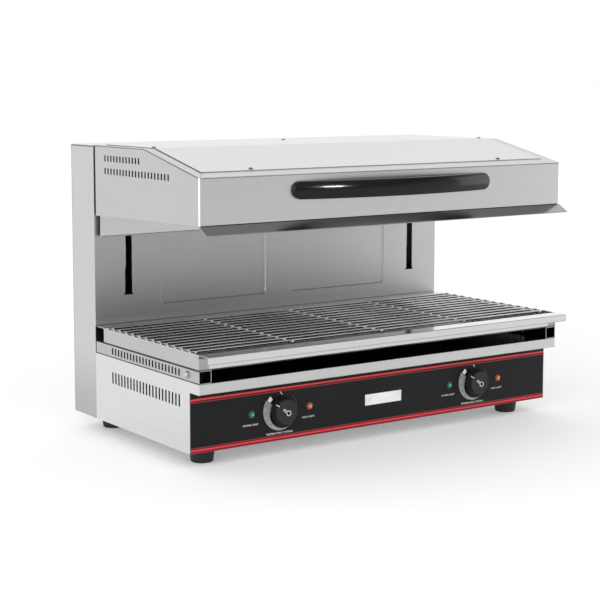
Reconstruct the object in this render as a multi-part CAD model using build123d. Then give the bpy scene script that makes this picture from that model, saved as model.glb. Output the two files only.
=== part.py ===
from build123d import *
from math import asin, atan, degrees
import os

# Salamander grill: a column carries a lifting hood over a rack and drip tray on a low vented base.
# Sizes are millimetres, X to the right, Y to the back, Z up.
# While modelling, Y is 0 at the column's back face and Z is 0 at the casing's underside.

# Casing
WIDTH = 800.0
COLUMN_HEIGHT = 500.0
COLUMN_DEPTH = 88.0
BODY_DEPTH = 450.0
SHEET = 1.2
FLANGE = 14.0
BEND = 3.0

# Gaps and cuts
PLAY = 0.3
RUNNING_GAP = 0.05
OVERRUN = 2.0

# Vents
VENT_WIDTH = 4.8
VENT_PITCH = 11.15

# Column front panel
SLOT_INSET = 69.0
SLOT_WIDTH = 15.0
SLOT_END_GAP = 7.0
SLOT_FOOT_WIDTH = 20.0
SLOT_FOOT_HEIGHT = 3.0
EMBOSS_INNER = 28.0
EMBOSS_SIDE_MARGIN = 136.0
EMBOSS_LOWER_MARGIN = 77.7
EMBOSS_UPPER_MARGIN = 60.0
EMBOSS_DEPTH = 2.0
EMBOSS_RADIUS = 9.0
EMBOSS_TAPER = 40.0

# Column back panel
BACK_VENT_COUNT = 24
BACK_VENT_HEIGHT = 20.0
BACK_VENT_DROP = 70.0
BACK_VENT_MIDDLE = 150.0

# Base
DECK_HEIGHT = 122.8
STRIP_DROP = 18.5
PANEL_SETBACK = 29.8
PANEL_THICKNESS = 2.0
UPSTAND = 12.0
BASE_VENT_DROP = 26.6
BASE_VENT_HEIGHT = 20.8
BASE_VENT_REAR_MARGIN = 64.0
BASE_VENT_FRONT_MARGIN = 30.0
FLOOR_VENT_COUNT = 10
FLOOR_VENT_LENGTH = 70.0
FLOOR_VENT_DEPTH = 230.0

# Rails
RAIL_WIDTH = 24.0
RAIL_HEIGHT = 21.9
RAIL_BEND = 2.0
RAIL_REAR_GAP = 2.0
RAIL_VENT_HEIGHT = 12.0
RAIL_SCREW_INSET = 38.0
RAIL_SCREW_HEAD_RADIUS = 6.8
RAIL_SCREW_HEAD_HEIGHT = 6.5
RAIL_SCREW_RADIUS = 3.0
RAIL_SCREW_LENGTH = 8.0

# Feet
FOOT_HEIGHT = 28.0
FOOT_TOP_RADIUS = 23.0
FOOT_BOTTOM_RADIUS = 19.5
FOOT_EDGE = 1.5
FOOT_INSET = 53.0
FOOT_FRONT_INSET = 80.0
FOOT_REAR_INSET = 52.0
FOOT_WELL_RADIUS = 8.0
FOOT_WELL_DEPTH = 14.0
FOOT_SCREW_RADIUS = 3.0
FOOT_SCREW_HEAD_RADIUS = 6.0
FOOT_SCREW_HEAD_HEIGHT = 4.0
FOOT_NUT_WIDTH = 10.0
FOOT_NUT_HEIGHT = 5.0

# Controls
KNOB_OFFSET = 219.0
KNOB_HEIGHT = 53.0
KNOB_BASE_RADIUS = 25.0
KNOB_TOP_RADIUS = 22.5
KNOB_DEPTH = 20.0
KNOB_COLLAR = 4.0
KNOB_DISH = 0.8
KNOB_EDGE = 1.5
KNOB_WALL = 4.0
SHAFT_RADIUS = 3.0
SHAFT_FLAT = 1.5
SHAFT_INTO_KNOB = 12.0
SHAFT_INTO_BODY = 16.0
NECK_RADIUS = 5.0
NECK_LENGTH = 1.5
THERMOSTAT_WIDTH = 46.0
THERMOSTAT_HEIGHT = 36.0
THERMOSTAT_DEPTH = 30.0
THERMOSTAT_TAB_WIDTH = 62.0
THERMOSTAT_TAB_HEIGHT = 16.0
THERMOSTAT_TAB = 1.5
LAMP_SPACING = 60.0
LAMP_RADIUS = 5.5
LAMP_RISE = 4.0
LAMP_FLAT_SHARE = 0.45
LAMP_BEZEL_RADIUS = 7.0
LAMP_BEZEL = 1.2
LAMP_BARREL_RADIUS = 5.0
LAMP_BARREL_LENGTH = 22.0
TERMINAL_LENGTH = 70.0
TERMINAL_DEPTH = 24.0
TERMINAL_HEIGHT = 22.0
TERMINAL_COUNT = 5
TERMINAL_WELL_RADIUS = 4.0
TERMINAL_WELL_DEPTH = 8.0
TERMINAL_OFFSET = 120.0
TERMINAL_PLACE = 150.0

# Cable gland
GLAND_INSET = 70.0
GLAND_HEIGHT = 40.0
GLAND_BORE = 5.5
GLAND_THREAD_RADIUS = 9.0
GLAND_HEX = 24.0
GLAND_HEX_DEPTH = 5.0
GLAND_CAP_RADIUS = 10.5
GLAND_CAP_TIP_RADIUS = 8.0
GLAND_CAP_DEPTH = 9.0
GLAND_NUT = 26.0
GLAND_NUT_DEPTH = 5.0
GLAND_TAIL = 3.0

# Drip tray
TRAY_HEIGHT = 27.1
TRAY_BEND = 2.0
TRAY_REAR_GAP = 31.2
TRAY_LEDGE_GAP = 4.2
TRAY_LIP = 29.1
TRAY_LIP_DROP = 12.9

# Wire rack
RACK_WIRE_RADIUS = 1.75
RACK_WIRE_COUNT = 13
RACK_REAR_INSET = 13.25
RACK_FRONT_INSET = 29.35
RACK_END_GAP = 0.2
BEARER_RADIUS = 2.0
BEARER_COUNT = 5
BEARER_INSET = 12.0
BEARER_TAIL = 4.0
WELD_DEPTH = 0.6

# Hood
HOOD_COLUMN_GAP = 7.5
HOOD_OVERHANG = 4.3
HOOD_SLOPE_RUN = 179.6
HOOD_SLOPE_DROP = 40.0
HOOD_FRONT_HEIGHT = 77.4
HOOD_SIDE_SAG = 8.8
HOOD_SIDE_MARGIN = 22.0
HOOD_FRONT_MARGIN = 30.0
HOOD_REAR_FLANGE = 19.0
HOOD_MITRE = 0.6
HOOD_STOP_GAP = 15.25
HOOD_VENT_HEIGHT = 10.8
HOOD_VENT_REAR_MARGIN = 37.5
HOOD_UPPER_VENT_DROP = 16.2
HOOD_UPPER_VENT_MARGIN = 14.0
HOOD_LOWER_VENT_DROP = 38.8
HOOD_LOWER_VENT_MARGIN = 92.0
COVER_LAP = 16.0
COVER_SCREW_OFFSET = 276.0
COVER_SCREW_INSET = 8.0
COVER_SCREW_BREAK_GAP = 18.7
COVER_SCREW_HEAD_RADIUS = 4.0
COVER_SCREW_HEAD_HEIGHT = 2.2
COVER_SCREW_RADIUS = 2.0
COVER_SCREW_LENGTH = 6.0
VISOR_REACH = 23.0
VISOR_DROP = 14.2
VISOR_FLANGE = 12.0
APRON_DROP = 39.3
APRON_INSET = 7.6
APRON_HEM = 4.0
REAR_WALL_FLANGE = 20.0

# Handle
HANDLE_LENGTH = 436.0
HANDLE_HEIGHT = 30.5
HANDLE_RISE = 34.8
HANDLE_BOW = 36.0
HANDLE_END = 6.5
HANDLE_CROWN = 3.0
HANDLE_GRIP = 13.0
HANDLE_FOOT = 46.0
HANDLE_EDGE = 2.5
HANDLE_ROUND_SHARE = 0.48
HANDLE_SCREW_RADIUS = 2.5
HANDLE_SCREW_HEAD_RADIUS = 5.0
HANDLE_SCREW_HEAD_HEIGHT = 3.0
HANDLE_SCREW_LENGTH = 9.0

# Heating
REFLECTOR_SHEET = 1.0
REFLECTOR_RIM_RISE = 4.4
REFLECTOR_RIM = 6.0
REFLECTOR_RISE = 26.0
REFLECTOR_SLOPE = 34.0
INSULATION_THICKNESS = 25.0
INSULATION_INSET = 6.0
HEATER_RADIUS = 4.0
HEATER_RUNS = 4
HEATER_BEND = 22.0
HEATER_TAIL_BEND = 11.0
HEATER_DROP = 16.0
HEATER_INNER = 24.0
HEATER_SIDE_MARGIN = 48.0
HEATER_RETURN = 80.0
HEATER_REAR_MARGIN = 62.5
HEATER_FRONT_MARGIN = 62.3
HEATER_TAIL = 12.0
BRACKET_SHEET = 1.5
BRACKET_BELOW = 3.0
BRACKET_BESIDE = 9.0
BRACKET_INSET = 40.0

# Lift
ROD_RADIUS = 6.0
ROD_DEPTH = 45.0
LIFT_PLATE = 4.0
LIFT_PLATE_WIDTH = 60.0
LUG_THICKNESS = 6.0
LUG_WIDTH = 34.0
LUG_REACH = 13.0
LIFT_LOWER_GAP = 25.0
LIFT_UPPER_GAP = 28.0
ROD_PROUD = 4.0
CARRIAGE_WIDTH = 48.0
CARRIAGE_DEPTH = 30.0
CARRIAGE_DROP = 8.0
CARRIAGE_HEIGHT = 76.0
BUSH_RADIUS = 9.0
BUSH_LENGTH = 20.0
ARM_THICKNESS = 10.0
ARM_RISE = 2.2
ARM_HEIGHT = 64.0
ARM_PLATE = 4.0
ARM_PLATE_WIDTH = 44.0
ARM_STRIP_WIDTH = 4.0
ARM_STRIP_DEPTH = 14.0
ARM_STRIP_GAP = 2.8
ARM_STRIP_DROP = 102.5
ARM_BOLT_RADIUS = 3.0
ARM_BOLT_HEAD = 10.0
ARM_BOLT_HEAD_HEIGHT = 4.0
ARM_BOLT_LOW = 34.0
ARM_BOLT_HIGH = 54.0
ARM_BOLT_SIDE = 14.0
CROSSBAR_HEIGHT = 24.0
CROSSBAR_THICKNESS = 14.0
CROSSBAR_RISE = 28.0
STRUT_INSET = 91.0
STRUT_RADIUS = 11.0
STRUT_WALL = 2.0
STRUT_TOP_GAP = 24.0
STRUT_CAP = 8.0
STRUT_ROD_RADIUS = 4.0
STRUT_PISTON = 10.0
STRUT_PISTON_GAP = 0.4
STRUT_PISTON_DROP = 2.0
STRUT_FOOT_RADIUS = 17.0
STRUT_FOOT = 4.0

# Casing places
half = WIDTH / 2
inner = half - SHEET
column_front = -COLUMN_DEPTH
column_inside = column_front + SHEET
cap_bottom = COLUMN_HEIGHT - SHEET
deck_bottom = DECK_HEIGHT - SHEET
strip_bottom = DECK_HEIGHT - STRIP_DROP
base_front = -BODY_DEPTH
panel_front = base_front + PANEL_SETBACK
panel_back = panel_front + PANEL_THICKNESS
base_vent_first = COLUMN_DEPTH + BASE_VENT_REAR_MARGIN
base_vent_count = int((-panel_front - BASE_VENT_FRONT_MARGIN - base_vent_first) / VENT_PITCH) + 1
base_vent_bottom = DECK_HEIGHT - BASE_VENT_DROP - BASE_VENT_HEIGHT
emboss_outer = half - EMBOSS_SIDE_MARGIN
emboss_bottom = DECK_HEIGHT + EMBOSS_LOWER_MARGIN
emboss_top = COLUMN_HEIGHT - EMBOSS_UPPER_MARGIN
foot_offset = half - FOOT_INSET
gland_offset = half - GLAND_INSET
gland_reach = GLAND_HEX_DEPTH + GLAND_CAP_DEPTH

# Tray and rack places
rail_top = DECK_HEIGHT + RAIL_HEIGHT
tray_top = rail_top + TRAY_HEIGHT
tray_rear = column_front - TRAY_REAR_GAP
rack_height = tray_top + PLAY
rack_top = rack_height + RACK_WIRE_RADIUS

# Hood places
hood_rear = column_front - HOOD_COLUMN_GAP
hood_front = base_front - HOOD_OVERHANG
hood_front_inside = hood_front + SHEET
hood_break = hood_front + HOOD_SLOPE_RUN
hood_slope = HOOD_SLOPE_DROP / HOOD_SLOPE_RUN
hood_tilt = degrees(atan(hood_slope))
hood_front_top = COLUMN_HEIGHT - HOOD_SLOPE_DROP
hood_front_bottom = hood_front_top - HOOD_FRONT_HEIGHT
hood_rear_bottom = hood_front_bottom - HOOD_SIDE_SAG
hood_vent_first = HOOD_VENT_REAR_MARGIN - hood_rear
upper_vent_count = int((-hood_break - HOOD_UPPER_VENT_MARGIN - hood_vent_first) / VENT_PITCH) + 1
upper_vent_bottom = COLUMN_HEIGHT - HOOD_UPPER_VENT_DROP - HOOD_VENT_HEIGHT
lower_vent_count = int((-hood_front - HOOD_LOWER_VENT_MARGIN - hood_vent_first) / VENT_PITCH) + 1
lower_vent_bottom = COLUMN_HEIGHT - HOOD_LOWER_VENT_DROP - HOOD_VENT_HEIGHT
wall_back = hood_rear - SHEET
wall_front = wall_back - SHEET
apron_bottom = hood_rear_bottom - APRON_DROP
apron_offset = half - APRON_INSET
hood_travel = apron_bottom - rack_top - HOOD_STOP_GAP
handle_bottom = hood_front_bottom + HANDLE_RISE
handle_middle = handle_bottom + HANDLE_HEIGHT / 2
front_reach = HANDLE_BOW - hood_front
y_origin = (front_reach - gland_reach) / 2

# Heating places
rim_bottom = hood_front_bottom + REFLECTOR_RIM_RISE
rim_top = rim_bottom + REFLECTOR_RIM
reflector_top = rim_top + REFLECTOR_RISE
reflector_under = reflector_top - REFLECTOR_SHEET
heater_height = reflector_under - HEATER_DROP
heater_top = reflector_top + INSULATION_THICKNESS + HEATER_TAIL
heater_outer = half - HEATER_SIDE_MARGIN
heater_first = hood_rear - HEATER_REAR_MARGIN
heater_last = hood_front + HEATER_FRONT_MARGIN
heater_pitch = (heater_first - heater_last) / (HEATER_RUNS - 1)
heater_lines = [heater_first - heater_pitch * number for number in range(HEATER_RUNS)]

# Lift places
slot_offset = half - SLOT_INSET
arm_bottom = hood_rear_bottom + ARM_RISE
arm_top = arm_bottom + ARM_HEIGHT
slot_bottom = arm_bottom - hood_travel - SLOT_END_GAP
slot_top = arm_top + SLOT_END_GAP
carriage_front = -ROD_DEPTH - CARRIAGE_DEPTH / 2
carriage_bottom = arm_bottom - CARRIAGE_DROP
carriage_top = carriage_bottom + CARRIAGE_HEIGHT
crossbar_bottom = carriage_bottom + CROSSBAR_RISE
lift_lower = carriage_bottom - hood_travel - LIFT_LOWER_GAP - LUG_THICKNESS
lift_upper = carriage_top + LIFT_UPPER_GAP
strut_top = crossbar_bottom - hood_travel - STRUT_TOP_GAP
strut_offset = slot_offset - STRUT_INSET


def block(x0, x1, y0, y1, z0, z1):
    """A box between two corners."""
    centre = Pos((x0 + x1) / 2, (y0 + y1) / 2, (z0 + z1) / 2)
    return centre * Box(x1 - x0, y1 - y0, z1 - z0)


def drum(radius, start, end):
    """A cylinder between two points."""
    axis = Vector(*end) - Vector(*start)
    return extrude(Plane(start, z_dir=axis) * Circle(radius), amount=axis.length)


def folded(points, thickness=SHEET, side=Side.LEFT):
    """The section of a folded sheet, from the points of one of its faces."""
    return make_face(offset(Polyline(*points), amount=thickness, side=side, kind=Kind.ARC))


def upright(outline, x0, x1):
    """A sheet standing along Y and Z, from x0 to x1."""
    return Pos(x0, 0, 0) * extrude(Plane.YZ * outline, amount=x1 - x0)


def facing(outline, y_front, y_back):
    """A sheet standing along X and Z, from its front to its back."""
    return Pos(0, y_back, 0) * extrude(Plane.XZ * outline, amount=y_back - y_front)


def vent_row(count, first, bottom, height):
    """Upright vent openings in a side wall, counted from the back."""
    middle = bottom + height / 2
    return [
        Pos(-first - VENT_PITCH * number, middle) * Rectangle(VENT_WIDTH, height)
        for number in range(count)
    ]


def mirrored(shape):
    """The right-hand twin of a left-hand piece."""
    return mirror(shape, about=Plane.YZ)


def hood_height(y):
    """Height of the hood's outer top face at a place along Y."""
    return COLUMN_HEIGHT - hood_slope * max(hood_break - y, 0)


# Column

def column_side():
    """Side wall with a fold behind the front panel and one before the back panel."""
    front = column_inside + SHEET
    back = -SHEET - SHEET
    edge = FLANGE - half
    section = folded([(edge, front), (-inner, front), (-inner, back), (edge, back)])
    wall = Pos(0, 0, SHEET) * extrude(section, amount=cap_bottom - SHEET)
    return wall + block(-half, -inner, column_inside + SHEET, -SHEET - SHEET, 0, SHEET)


def lift_slot(x):
    """Outline of one lift slot with its widened foot."""
    height = slot_top - slot_bottom
    slot = Pos(x, slot_bottom + height / 2) * Rectangle(SLOT_WIDTH, height)
    foot = Pos(x, slot_bottom + SLOT_FOOT_HEIGHT / 2) * Rectangle(SLOT_FOOT_WIDTH, SLOT_FOOT_HEIGHT)
    return slot + foot


def emboss(x, y_front):
    """One field of the front panel, pressed in from the front."""
    width = emboss_outer - EMBOSS_INNER
    height = emboss_top - emboss_bottom
    outline = Pos(emboss_bottom + height / 2, x) * RectangleRounded(height, width, EMBOSS_RADIUS)
    return Pos(0, y_front, 0) * extrude(Plane.ZX * outline, amount=EMBOSS_DEPTH, taper=EMBOSS_TAPER)


def column_front_panel():
    """Front panel with two slots for the lift arms and two embossed fields."""
    height = cap_bottom - DECK_HEIGHT
    outline = Pos(0, DECK_HEIGHT + height / 2) * Rectangle(WIDTH, height)
    outline -= [lift_slot(-slot_offset), lift_slot(slot_offset)]
    panel = facing(outline, column_front, column_inside)
    for x in (-(EMBOSS_INNER + emboss_outer) / 2, (EMBOSS_INNER + emboss_outer) / 2):
        panel += emboss(x, column_inside)
        panel -= emboss(x, column_front)
    return panel


def column_back_panel():
    """Back panel with two rows of vents and the hole for the cable gland."""
    outline = Pos(0, cap_bottom / 2) * Rectangle(WIDTH, cap_bottom)
    middle = cap_bottom - BACK_VENT_DROP
    reach = VENT_PITCH * (BACK_VENT_COUNT - 1) / 2
    for side in (-1, 1):
        first = side * BACK_VENT_MIDDLE - reach
        outline -= [
            Pos(first + VENT_PITCH * number, middle) * Rectangle(VENT_WIDTH, BACK_VENT_HEIGHT)
            for number in range(BACK_VENT_COUNT)
        ]
    outline -= Pos(gland_offset, GLAND_HEIGHT) * Circle(GLAND_THREAD_RADIUS + RUNNING_GAP)
    return facing(outline, -SHEET, 0)


def column_top_cap():
    """Lid of the column with a fold down inside the front and the back."""
    reach = half - FLANGE - PLAY
    lid = block(-half, half, column_front, 0, cap_bottom, COLUMN_HEIGHT)
    lid += block(-reach, reach, column_inside, column_inside + SHEET, cap_bottom - UPSTAND, cap_bottom)
    lid += block(-reach, reach, -SHEET - SHEET, -SHEET, cap_bottom - UPSTAND, cap_bottom)
    return lid


# Base

def base_side():
    """Vented side panel with a fold under the deck and one behind the control panel."""
    outline = make_face(Polyline(
        (column_inside, 0), (panel_front, 0), (panel_front, strip_bottom),
        (base_front, strip_bottom), (base_front, DECK_HEIGHT), (column_inside, DECK_HEIGHT), close=True))
    outline -= vent_row(base_vent_count, base_vent_first, base_vent_bottom, BASE_VENT_HEIGHT)
    wall = upright(outline, -half, -inner)
    fold_edge = FLANGE - half
    wall += block(-inner, fold_edge, panel_back, column_front, deck_bottom - SHEET, deck_bottom)
    wall += block(-inner, fold_edge, panel_back, panel_back + SHEET, UPSTAND + PLAY, strip_bottom - PLAY)
    return wall


def base_floor():
    """Floor with a fold up inside each side panel, vents and holes for the foot screws."""
    outline = Pos(0, (panel_back - SHEET) / 2) * Rectangle(inner + inner, -SHEET - panel_back)
    reach = VENT_PITCH * (FLOOR_VENT_COUNT - 1) / 2
    for side in (-1, 1):
        outline -= [
            Pos(side * KNOB_OFFSET - reach + VENT_PITCH * number, -FLOOR_VENT_DEPTH)
            * Rectangle(VENT_WIDTH, FLOOR_VENT_LENGTH)
            for number in range(FLOOR_VENT_COUNT)
        ]
    outline -= [Pos(x, y) * Circle(FOOT_SCREW_RADIUS + RUNNING_GAP) for x, y in foot_places()]
    floor = extrude(outline, amount=SHEET)
    for x0, x1 in ((-inner, SHEET - inner), (inner - SHEET, inner)):
        floor += block(x0, x1, panel_back, column_front - PLAY, 0, UPSTAND)
    return floor


def base_deck():
    """Deck under the rails, folded down to the front strip and back to the control panel."""
    rear = panel_back + FLANGE
    section = folded(
        [(rear, strip_bottom + SHEET), (base_front + SHEET, strip_bottom + SHEET),
         (base_front + SHEET, deck_bottom), (column_inside, deck_bottom)])
    return upright(section, -inner, inner)


def control_panel():
    """Front panel with openings for the two thermostats and four pilot lamps."""
    outline = Pos(0, strip_bottom / 2) * Rectangle(inner + inner - PLAY - PLAY, strip_bottom)
    outline -= [Pos(x, KNOB_HEIGHT) * Circle(NECK_RADIUS + RUNNING_GAP) for x in (-KNOB_OFFSET, KNOB_OFFSET)]
    outline -= [Pos(x, KNOB_HEIGHT) * Circle(LAMP_BARREL_RADIUS + RUNNING_GAP) for x in lamp_places(-1)]
    outline -= [Pos(x, KNOB_HEIGHT) * Circle(LAMP_BARREL_RADIUS + RUNNING_GAP) for x in lamp_places(1)]
    return facing(outline, panel_front, panel_back)


def rail():
    """Vented tube rail under one edge of the tray."""
    middle = DECK_HEIGHT + RAIL_HEIGHT / 2
    tube = RectangleRounded(RAIL_WIDTH, RAIL_HEIGHT, RAIL_BEND)
    tube -= RectangleRounded(RAIL_WIDTH - SHEET - SHEET, RAIL_HEIGHT - SHEET - SHEET, RAIL_BEND - SHEET)
    tube = Pos(RAIL_WIDTH / 2 - half, middle) * tube
    body = facing(tube, base_front, column_front - RAIL_REAR_GAP)
    bottom = DECK_HEIGHT + (RAIL_HEIGHT - RAIL_VENT_HEIGHT) / 2
    vents = vent_row(base_vent_count, base_vent_first, bottom, RAIL_VENT_HEIGHT)
    for vent in vents:
        body -= upright(vent, -half - OVERRUN, RAIL_WIDTH - half + OVERRUN)
    y = base_front + RAIL_SCREW_INSET
    hole_end = RAIL_WIDTH / 2 - half
    return body - drum(RAIL_SCREW_RADIUS + RUNNING_GAP, (-half - OVERRUN, y, middle), (hole_end, y, middle))


def foot_places():
    """Centres of the four feet."""
    rows = (base_front + FOOT_FRONT_INSET, -FOOT_REAR_INSET)
    return [(x, y) for x in (-foot_offset, foot_offset) for y in rows]


def lamp_places(side):
    """The two lamp positions at one side of the knobs, -1 for the left one of each pair."""
    return [knob + side * LAMP_SPACING for knob in (-KNOB_OFFSET, KNOB_OFFSET)]


def turned(outline):
    """A round piece on Z from half of its section, drawn as radius and height."""
    return revolve(Plane.XZ * make_face(outline), axis=Axis.Z)


def round_screw(radius, length, head_radius, head_height):
    """Round-headed screw on Z, with the seat of its head at 0."""
    dome = TangentArc((0, head_height), (head_radius, 0), tangent=(1, 0))
    return turned(Polyline(
        (0, head_height), (0, -length), (radius, -length), (radius, 0), (head_radius, 0)) + dome)


def hex_prism(across, height):
    """Hexagonal head or nut on Z, standing on 0."""
    return extrude(RegularPolygon(across / 2, 6, major_radius=False), amount=height)


def rail_screws():
    """Round-headed screw in each rail's outer wall, near the front."""
    screw = round_screw(
        RAIL_SCREW_RADIUS, RAIL_SCREW_LENGTH, RAIL_SCREW_HEAD_RADIUS, RAIL_SCREW_HEAD_HEIGHT)
    place = Pos(-half, base_front + RAIL_SCREW_INSET, DECK_HEIGHT + RAIL_HEIGHT / 2)
    left = place * Rot(0, -90, 0) * screw
    return [left, mirrored(left)]


# Feet

def feet():
    """Four tapered rubber feet with a well for the screw."""
    well_top = FOOT_WELL_DEPTH - FOOT_HEIGHT
    hole = FOOT_SCREW_RADIUS + RUNNING_GAP
    foot = turned(Polyline(
        (hole, 0), (hole, well_top), (FOOT_WELL_RADIUS, well_top), (FOOT_WELL_RADIUS, -FOOT_HEIGHT),
        (FOOT_BOTTOM_RADIUS - FOOT_EDGE, -FOOT_HEIGHT), (FOOT_BOTTOM_RADIUS, FOOT_EDGE - FOOT_HEIGHT),
        (FOOT_TOP_RADIUS, -FOOT_EDGE), (FOOT_TOP_RADIUS - FOOT_EDGE, 0), close=True))
    return [Pos(x, y, 0) * foot for x, y in foot_places()]


def foot_screws():
    """Screw up through each foot and the floor."""
    length = FOOT_HEIGHT - FOOT_WELL_DEPTH + SHEET + FOOT_NUT_HEIGHT
    screw = drum(FOOT_SCREW_RADIUS, (0, 0, 0), (0, 0, length))
    screw += drum(FOOT_SCREW_HEAD_RADIUS, (0, 0, -FOOT_SCREW_HEAD_HEIGHT), (0, 0, 0))
    return [Pos(x, y, FOOT_WELL_DEPTH - FOOT_HEIGHT) * screw for x, y in foot_places()]


def foot_nuts():
    """Nut on each foot screw, inside the casing."""
    nut = hex_prism(FOOT_NUT_WIDTH, FOOT_NUT_HEIGHT)
    nut -= drum(FOOT_SCREW_RADIUS + RUNNING_GAP, (0, 0, -OVERRUN), (0, 0, FOOT_NUT_HEIGHT + OVERRUN))
    return [Pos(x, y, SHEET) * nut for x, y in foot_places()]


# Controls

def thermostat(x):
    """Thermostat body behind the control panel, with its neck through the panel."""
    middle = KNOB_HEIGHT
    rear = panel_back + THERMOSTAT_TAB
    body = block(
        x - THERMOSTAT_WIDTH / 2, x + THERMOSTAT_WIDTH / 2, rear, rear + THERMOSTAT_DEPTH,
        middle - THERMOSTAT_HEIGHT / 2, middle + THERMOSTAT_HEIGHT / 2)
    body += block(
        x - THERMOSTAT_TAB_WIDTH / 2, x + THERMOSTAT_TAB_WIDTH / 2, panel_back, rear,
        middle - THERMOSTAT_TAB_HEIGHT / 2, middle + THERMOSTAT_TAB_HEIGHT / 2)
    neck_tip = panel_front - NECK_LENGTH
    body += drum(NECK_RADIUS, (x, neck_tip, middle), (x, rear, middle))
    bore_end = panel_back + SHAFT_INTO_BODY + PLAY
    return body - drum(SHAFT_RADIUS + RUNNING_GAP, (x, neck_tip - OVERRUN, middle), (x, bore_end, middle))


def shaft_section(gap):
    """Round section with a flat on top, as on the shaft and in the knob."""
    radius = SHAFT_RADIUS + gap
    flat = SHAFT_RADIUS - SHAFT_FLAT + gap
    return Circle(radius) - Pos(0, flat + radius) * Rectangle(radius + radius, radius + radius)


def thermostat_shaft(x):
    """Turning shaft of a thermostat, flattened where the knob sits on it."""
    middle = KNOB_HEIGHT
    shoulder = panel_front - NECK_LENGTH
    tip = panel_front - PLAY - SHAFT_INTO_KNOB
    shaft = drum(SHAFT_RADIUS, (x, shoulder, middle), (x, panel_back + SHAFT_INTO_BODY, middle))
    return shaft + Pos(x, 0, middle) * facing(shaft_section(0), tip, shoulder)


def knob(x):
    """Hollow moulded knob with a boss for the shaft."""
    boss = SHAFT_RADIUS + KNOB_WALL
    ceiling = KNOB_DEPTH - KNOB_WALL
    front = Polyline(
        (0, KNOB_DEPTH - KNOB_DISH), (0, NECK_LENGTH), (boss, NECK_LENGTH), (boss, ceiling),
        (KNOB_TOP_RADIUS - KNOB_WALL, ceiling), (KNOB_BASE_RADIUS - KNOB_WALL, 0), (KNOB_BASE_RADIUS, 0),
        (KNOB_BASE_RADIUS, KNOB_COLLAR), (KNOB_TOP_RADIUS, KNOB_DEPTH - KNOB_EDGE),
        (KNOB_TOP_RADIUS - KNOB_EDGE, KNOB_DEPTH))
    rim = KNOB_TOP_RADIUS - KNOB_EDGE
    dish = TangentArc((0, KNOB_DEPTH - KNOB_DISH), (rim, KNOB_DEPTH), tangent=(1, 0))
    shape = Pos(x, panel_front - PLAY, KNOB_HEIGHT) * Rot(90, 0, 0) * turned(front + dish)
    tip = panel_front - PLAY - SHAFT_INTO_KNOB - PLAY
    return shape - Pos(x, 0, KNOB_HEIGHT) * facing(shaft_section(RUNNING_GAP), tip, panel_front)


def lamp_bodies():
    """Bezel and barrel of each pilot lamp."""
    bodies = []
    for x in lamp_places(-1) + lamp_places(1):
        front = (x, panel_front - LAMP_BEZEL, KNOB_HEIGHT)
        body = drum(LAMP_BEZEL_RADIUS, front, (x, panel_front, KNOB_HEIGHT))
        body += drum(LAMP_BARREL_RADIUS, front, (x, panel_front + LAMP_BARREL_LENGTH, KNOB_HEIGHT))
        bodies.append(body)
    return bodies


def lamp_lenses(side):
    """Domed lenses on the bezels at one side of the knobs."""
    wall = LAMP_RISE * LAMP_FLAT_SHARE
    dome = TangentArc((0, LAMP_RISE), (LAMP_RADIUS, wall), tangent=(1, 0))
    lens = turned(Polyline((0, LAMP_RISE), (0, 0), (LAMP_RADIUS, 0), (LAMP_RADIUS, wall)) + dome)
    seat = panel_front - LAMP_BEZEL
    return [Pos(x, seat, KNOB_HEIGHT) * Rot(90, 0, 0) * lens for x in lamp_places(side)]


def terminal_block():
    """Supply terminals on the floor, with a well over each screw."""
    top = SHEET + TERMINAL_HEIGHT
    shape = block(
        TERMINAL_OFFSET, TERMINAL_OFFSET + TERMINAL_LENGTH, -TERMINAL_PLACE - TERMINAL_DEPTH, -TERMINAL_PLACE,
        SHEET, top)
    pitch = TERMINAL_LENGTH / TERMINAL_COUNT
    for number in range(TERMINAL_COUNT):
        x = TERMINAL_OFFSET + pitch * number + pitch / 2
        y = -TERMINAL_PLACE - TERMINAL_DEPTH / 2
        shape -= drum(TERMINAL_WELL_RADIUS, (x, y, top - TERMINAL_WELL_DEPTH), (x, y, top + OVERRUN))
    return shape


# Cable gland

def cable_gland():
    """Gland for the supply lead, through the back panel."""
    tail = SHEET + GLAND_NUT_DEPTH + GLAND_TAIL
    tip = gland_reach
    gland = hex_prism(GLAND_HEX, GLAND_HEX_DEPTH)
    gland += turned(Polyline(
        (0, GLAND_HEX_DEPTH), (GLAND_CAP_RADIUS, GLAND_HEX_DEPTH), (GLAND_CAP_TIP_RADIUS, tip), (0, tip),
        close=True))
    gland += drum(GLAND_THREAD_RADIUS, (0, 0, -tail), (0, 0, 0))
    gland -= drum(GLAND_BORE, (0, 0, -tail - OVERRUN), (0, 0, tip + OVERRUN))
    return Pos(gland_offset, 0, GLAND_HEIGHT) * Rot(-90, 0, 0) * gland


def gland_locknut():
    """Nut that holds the gland from inside the column."""
    nut = hex_prism(GLAND_NUT, GLAND_NUT_DEPTH)
    nut -= drum(GLAND_THREAD_RADIUS + RUNNING_GAP, (0, 0, -OVERRUN), (0, 0, GLAND_NUT_DEPTH + OVERRUN))
    return Pos(gland_offset, -SHEET, GLAND_HEIGHT) * Rot(90, 0, 0) * nut


# Tray and rack

def rack_lines():
    """Places of the rack's long wires, counted from the back."""
    back = tray_rear - RACK_REAR_INSET
    front = base_front + RACK_FRONT_INSET
    pitch = (back - front) / (RACK_WIRE_COUNT - 1)
    return [back - pitch * number for number in range(RACK_WIRE_COUNT)]


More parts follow.
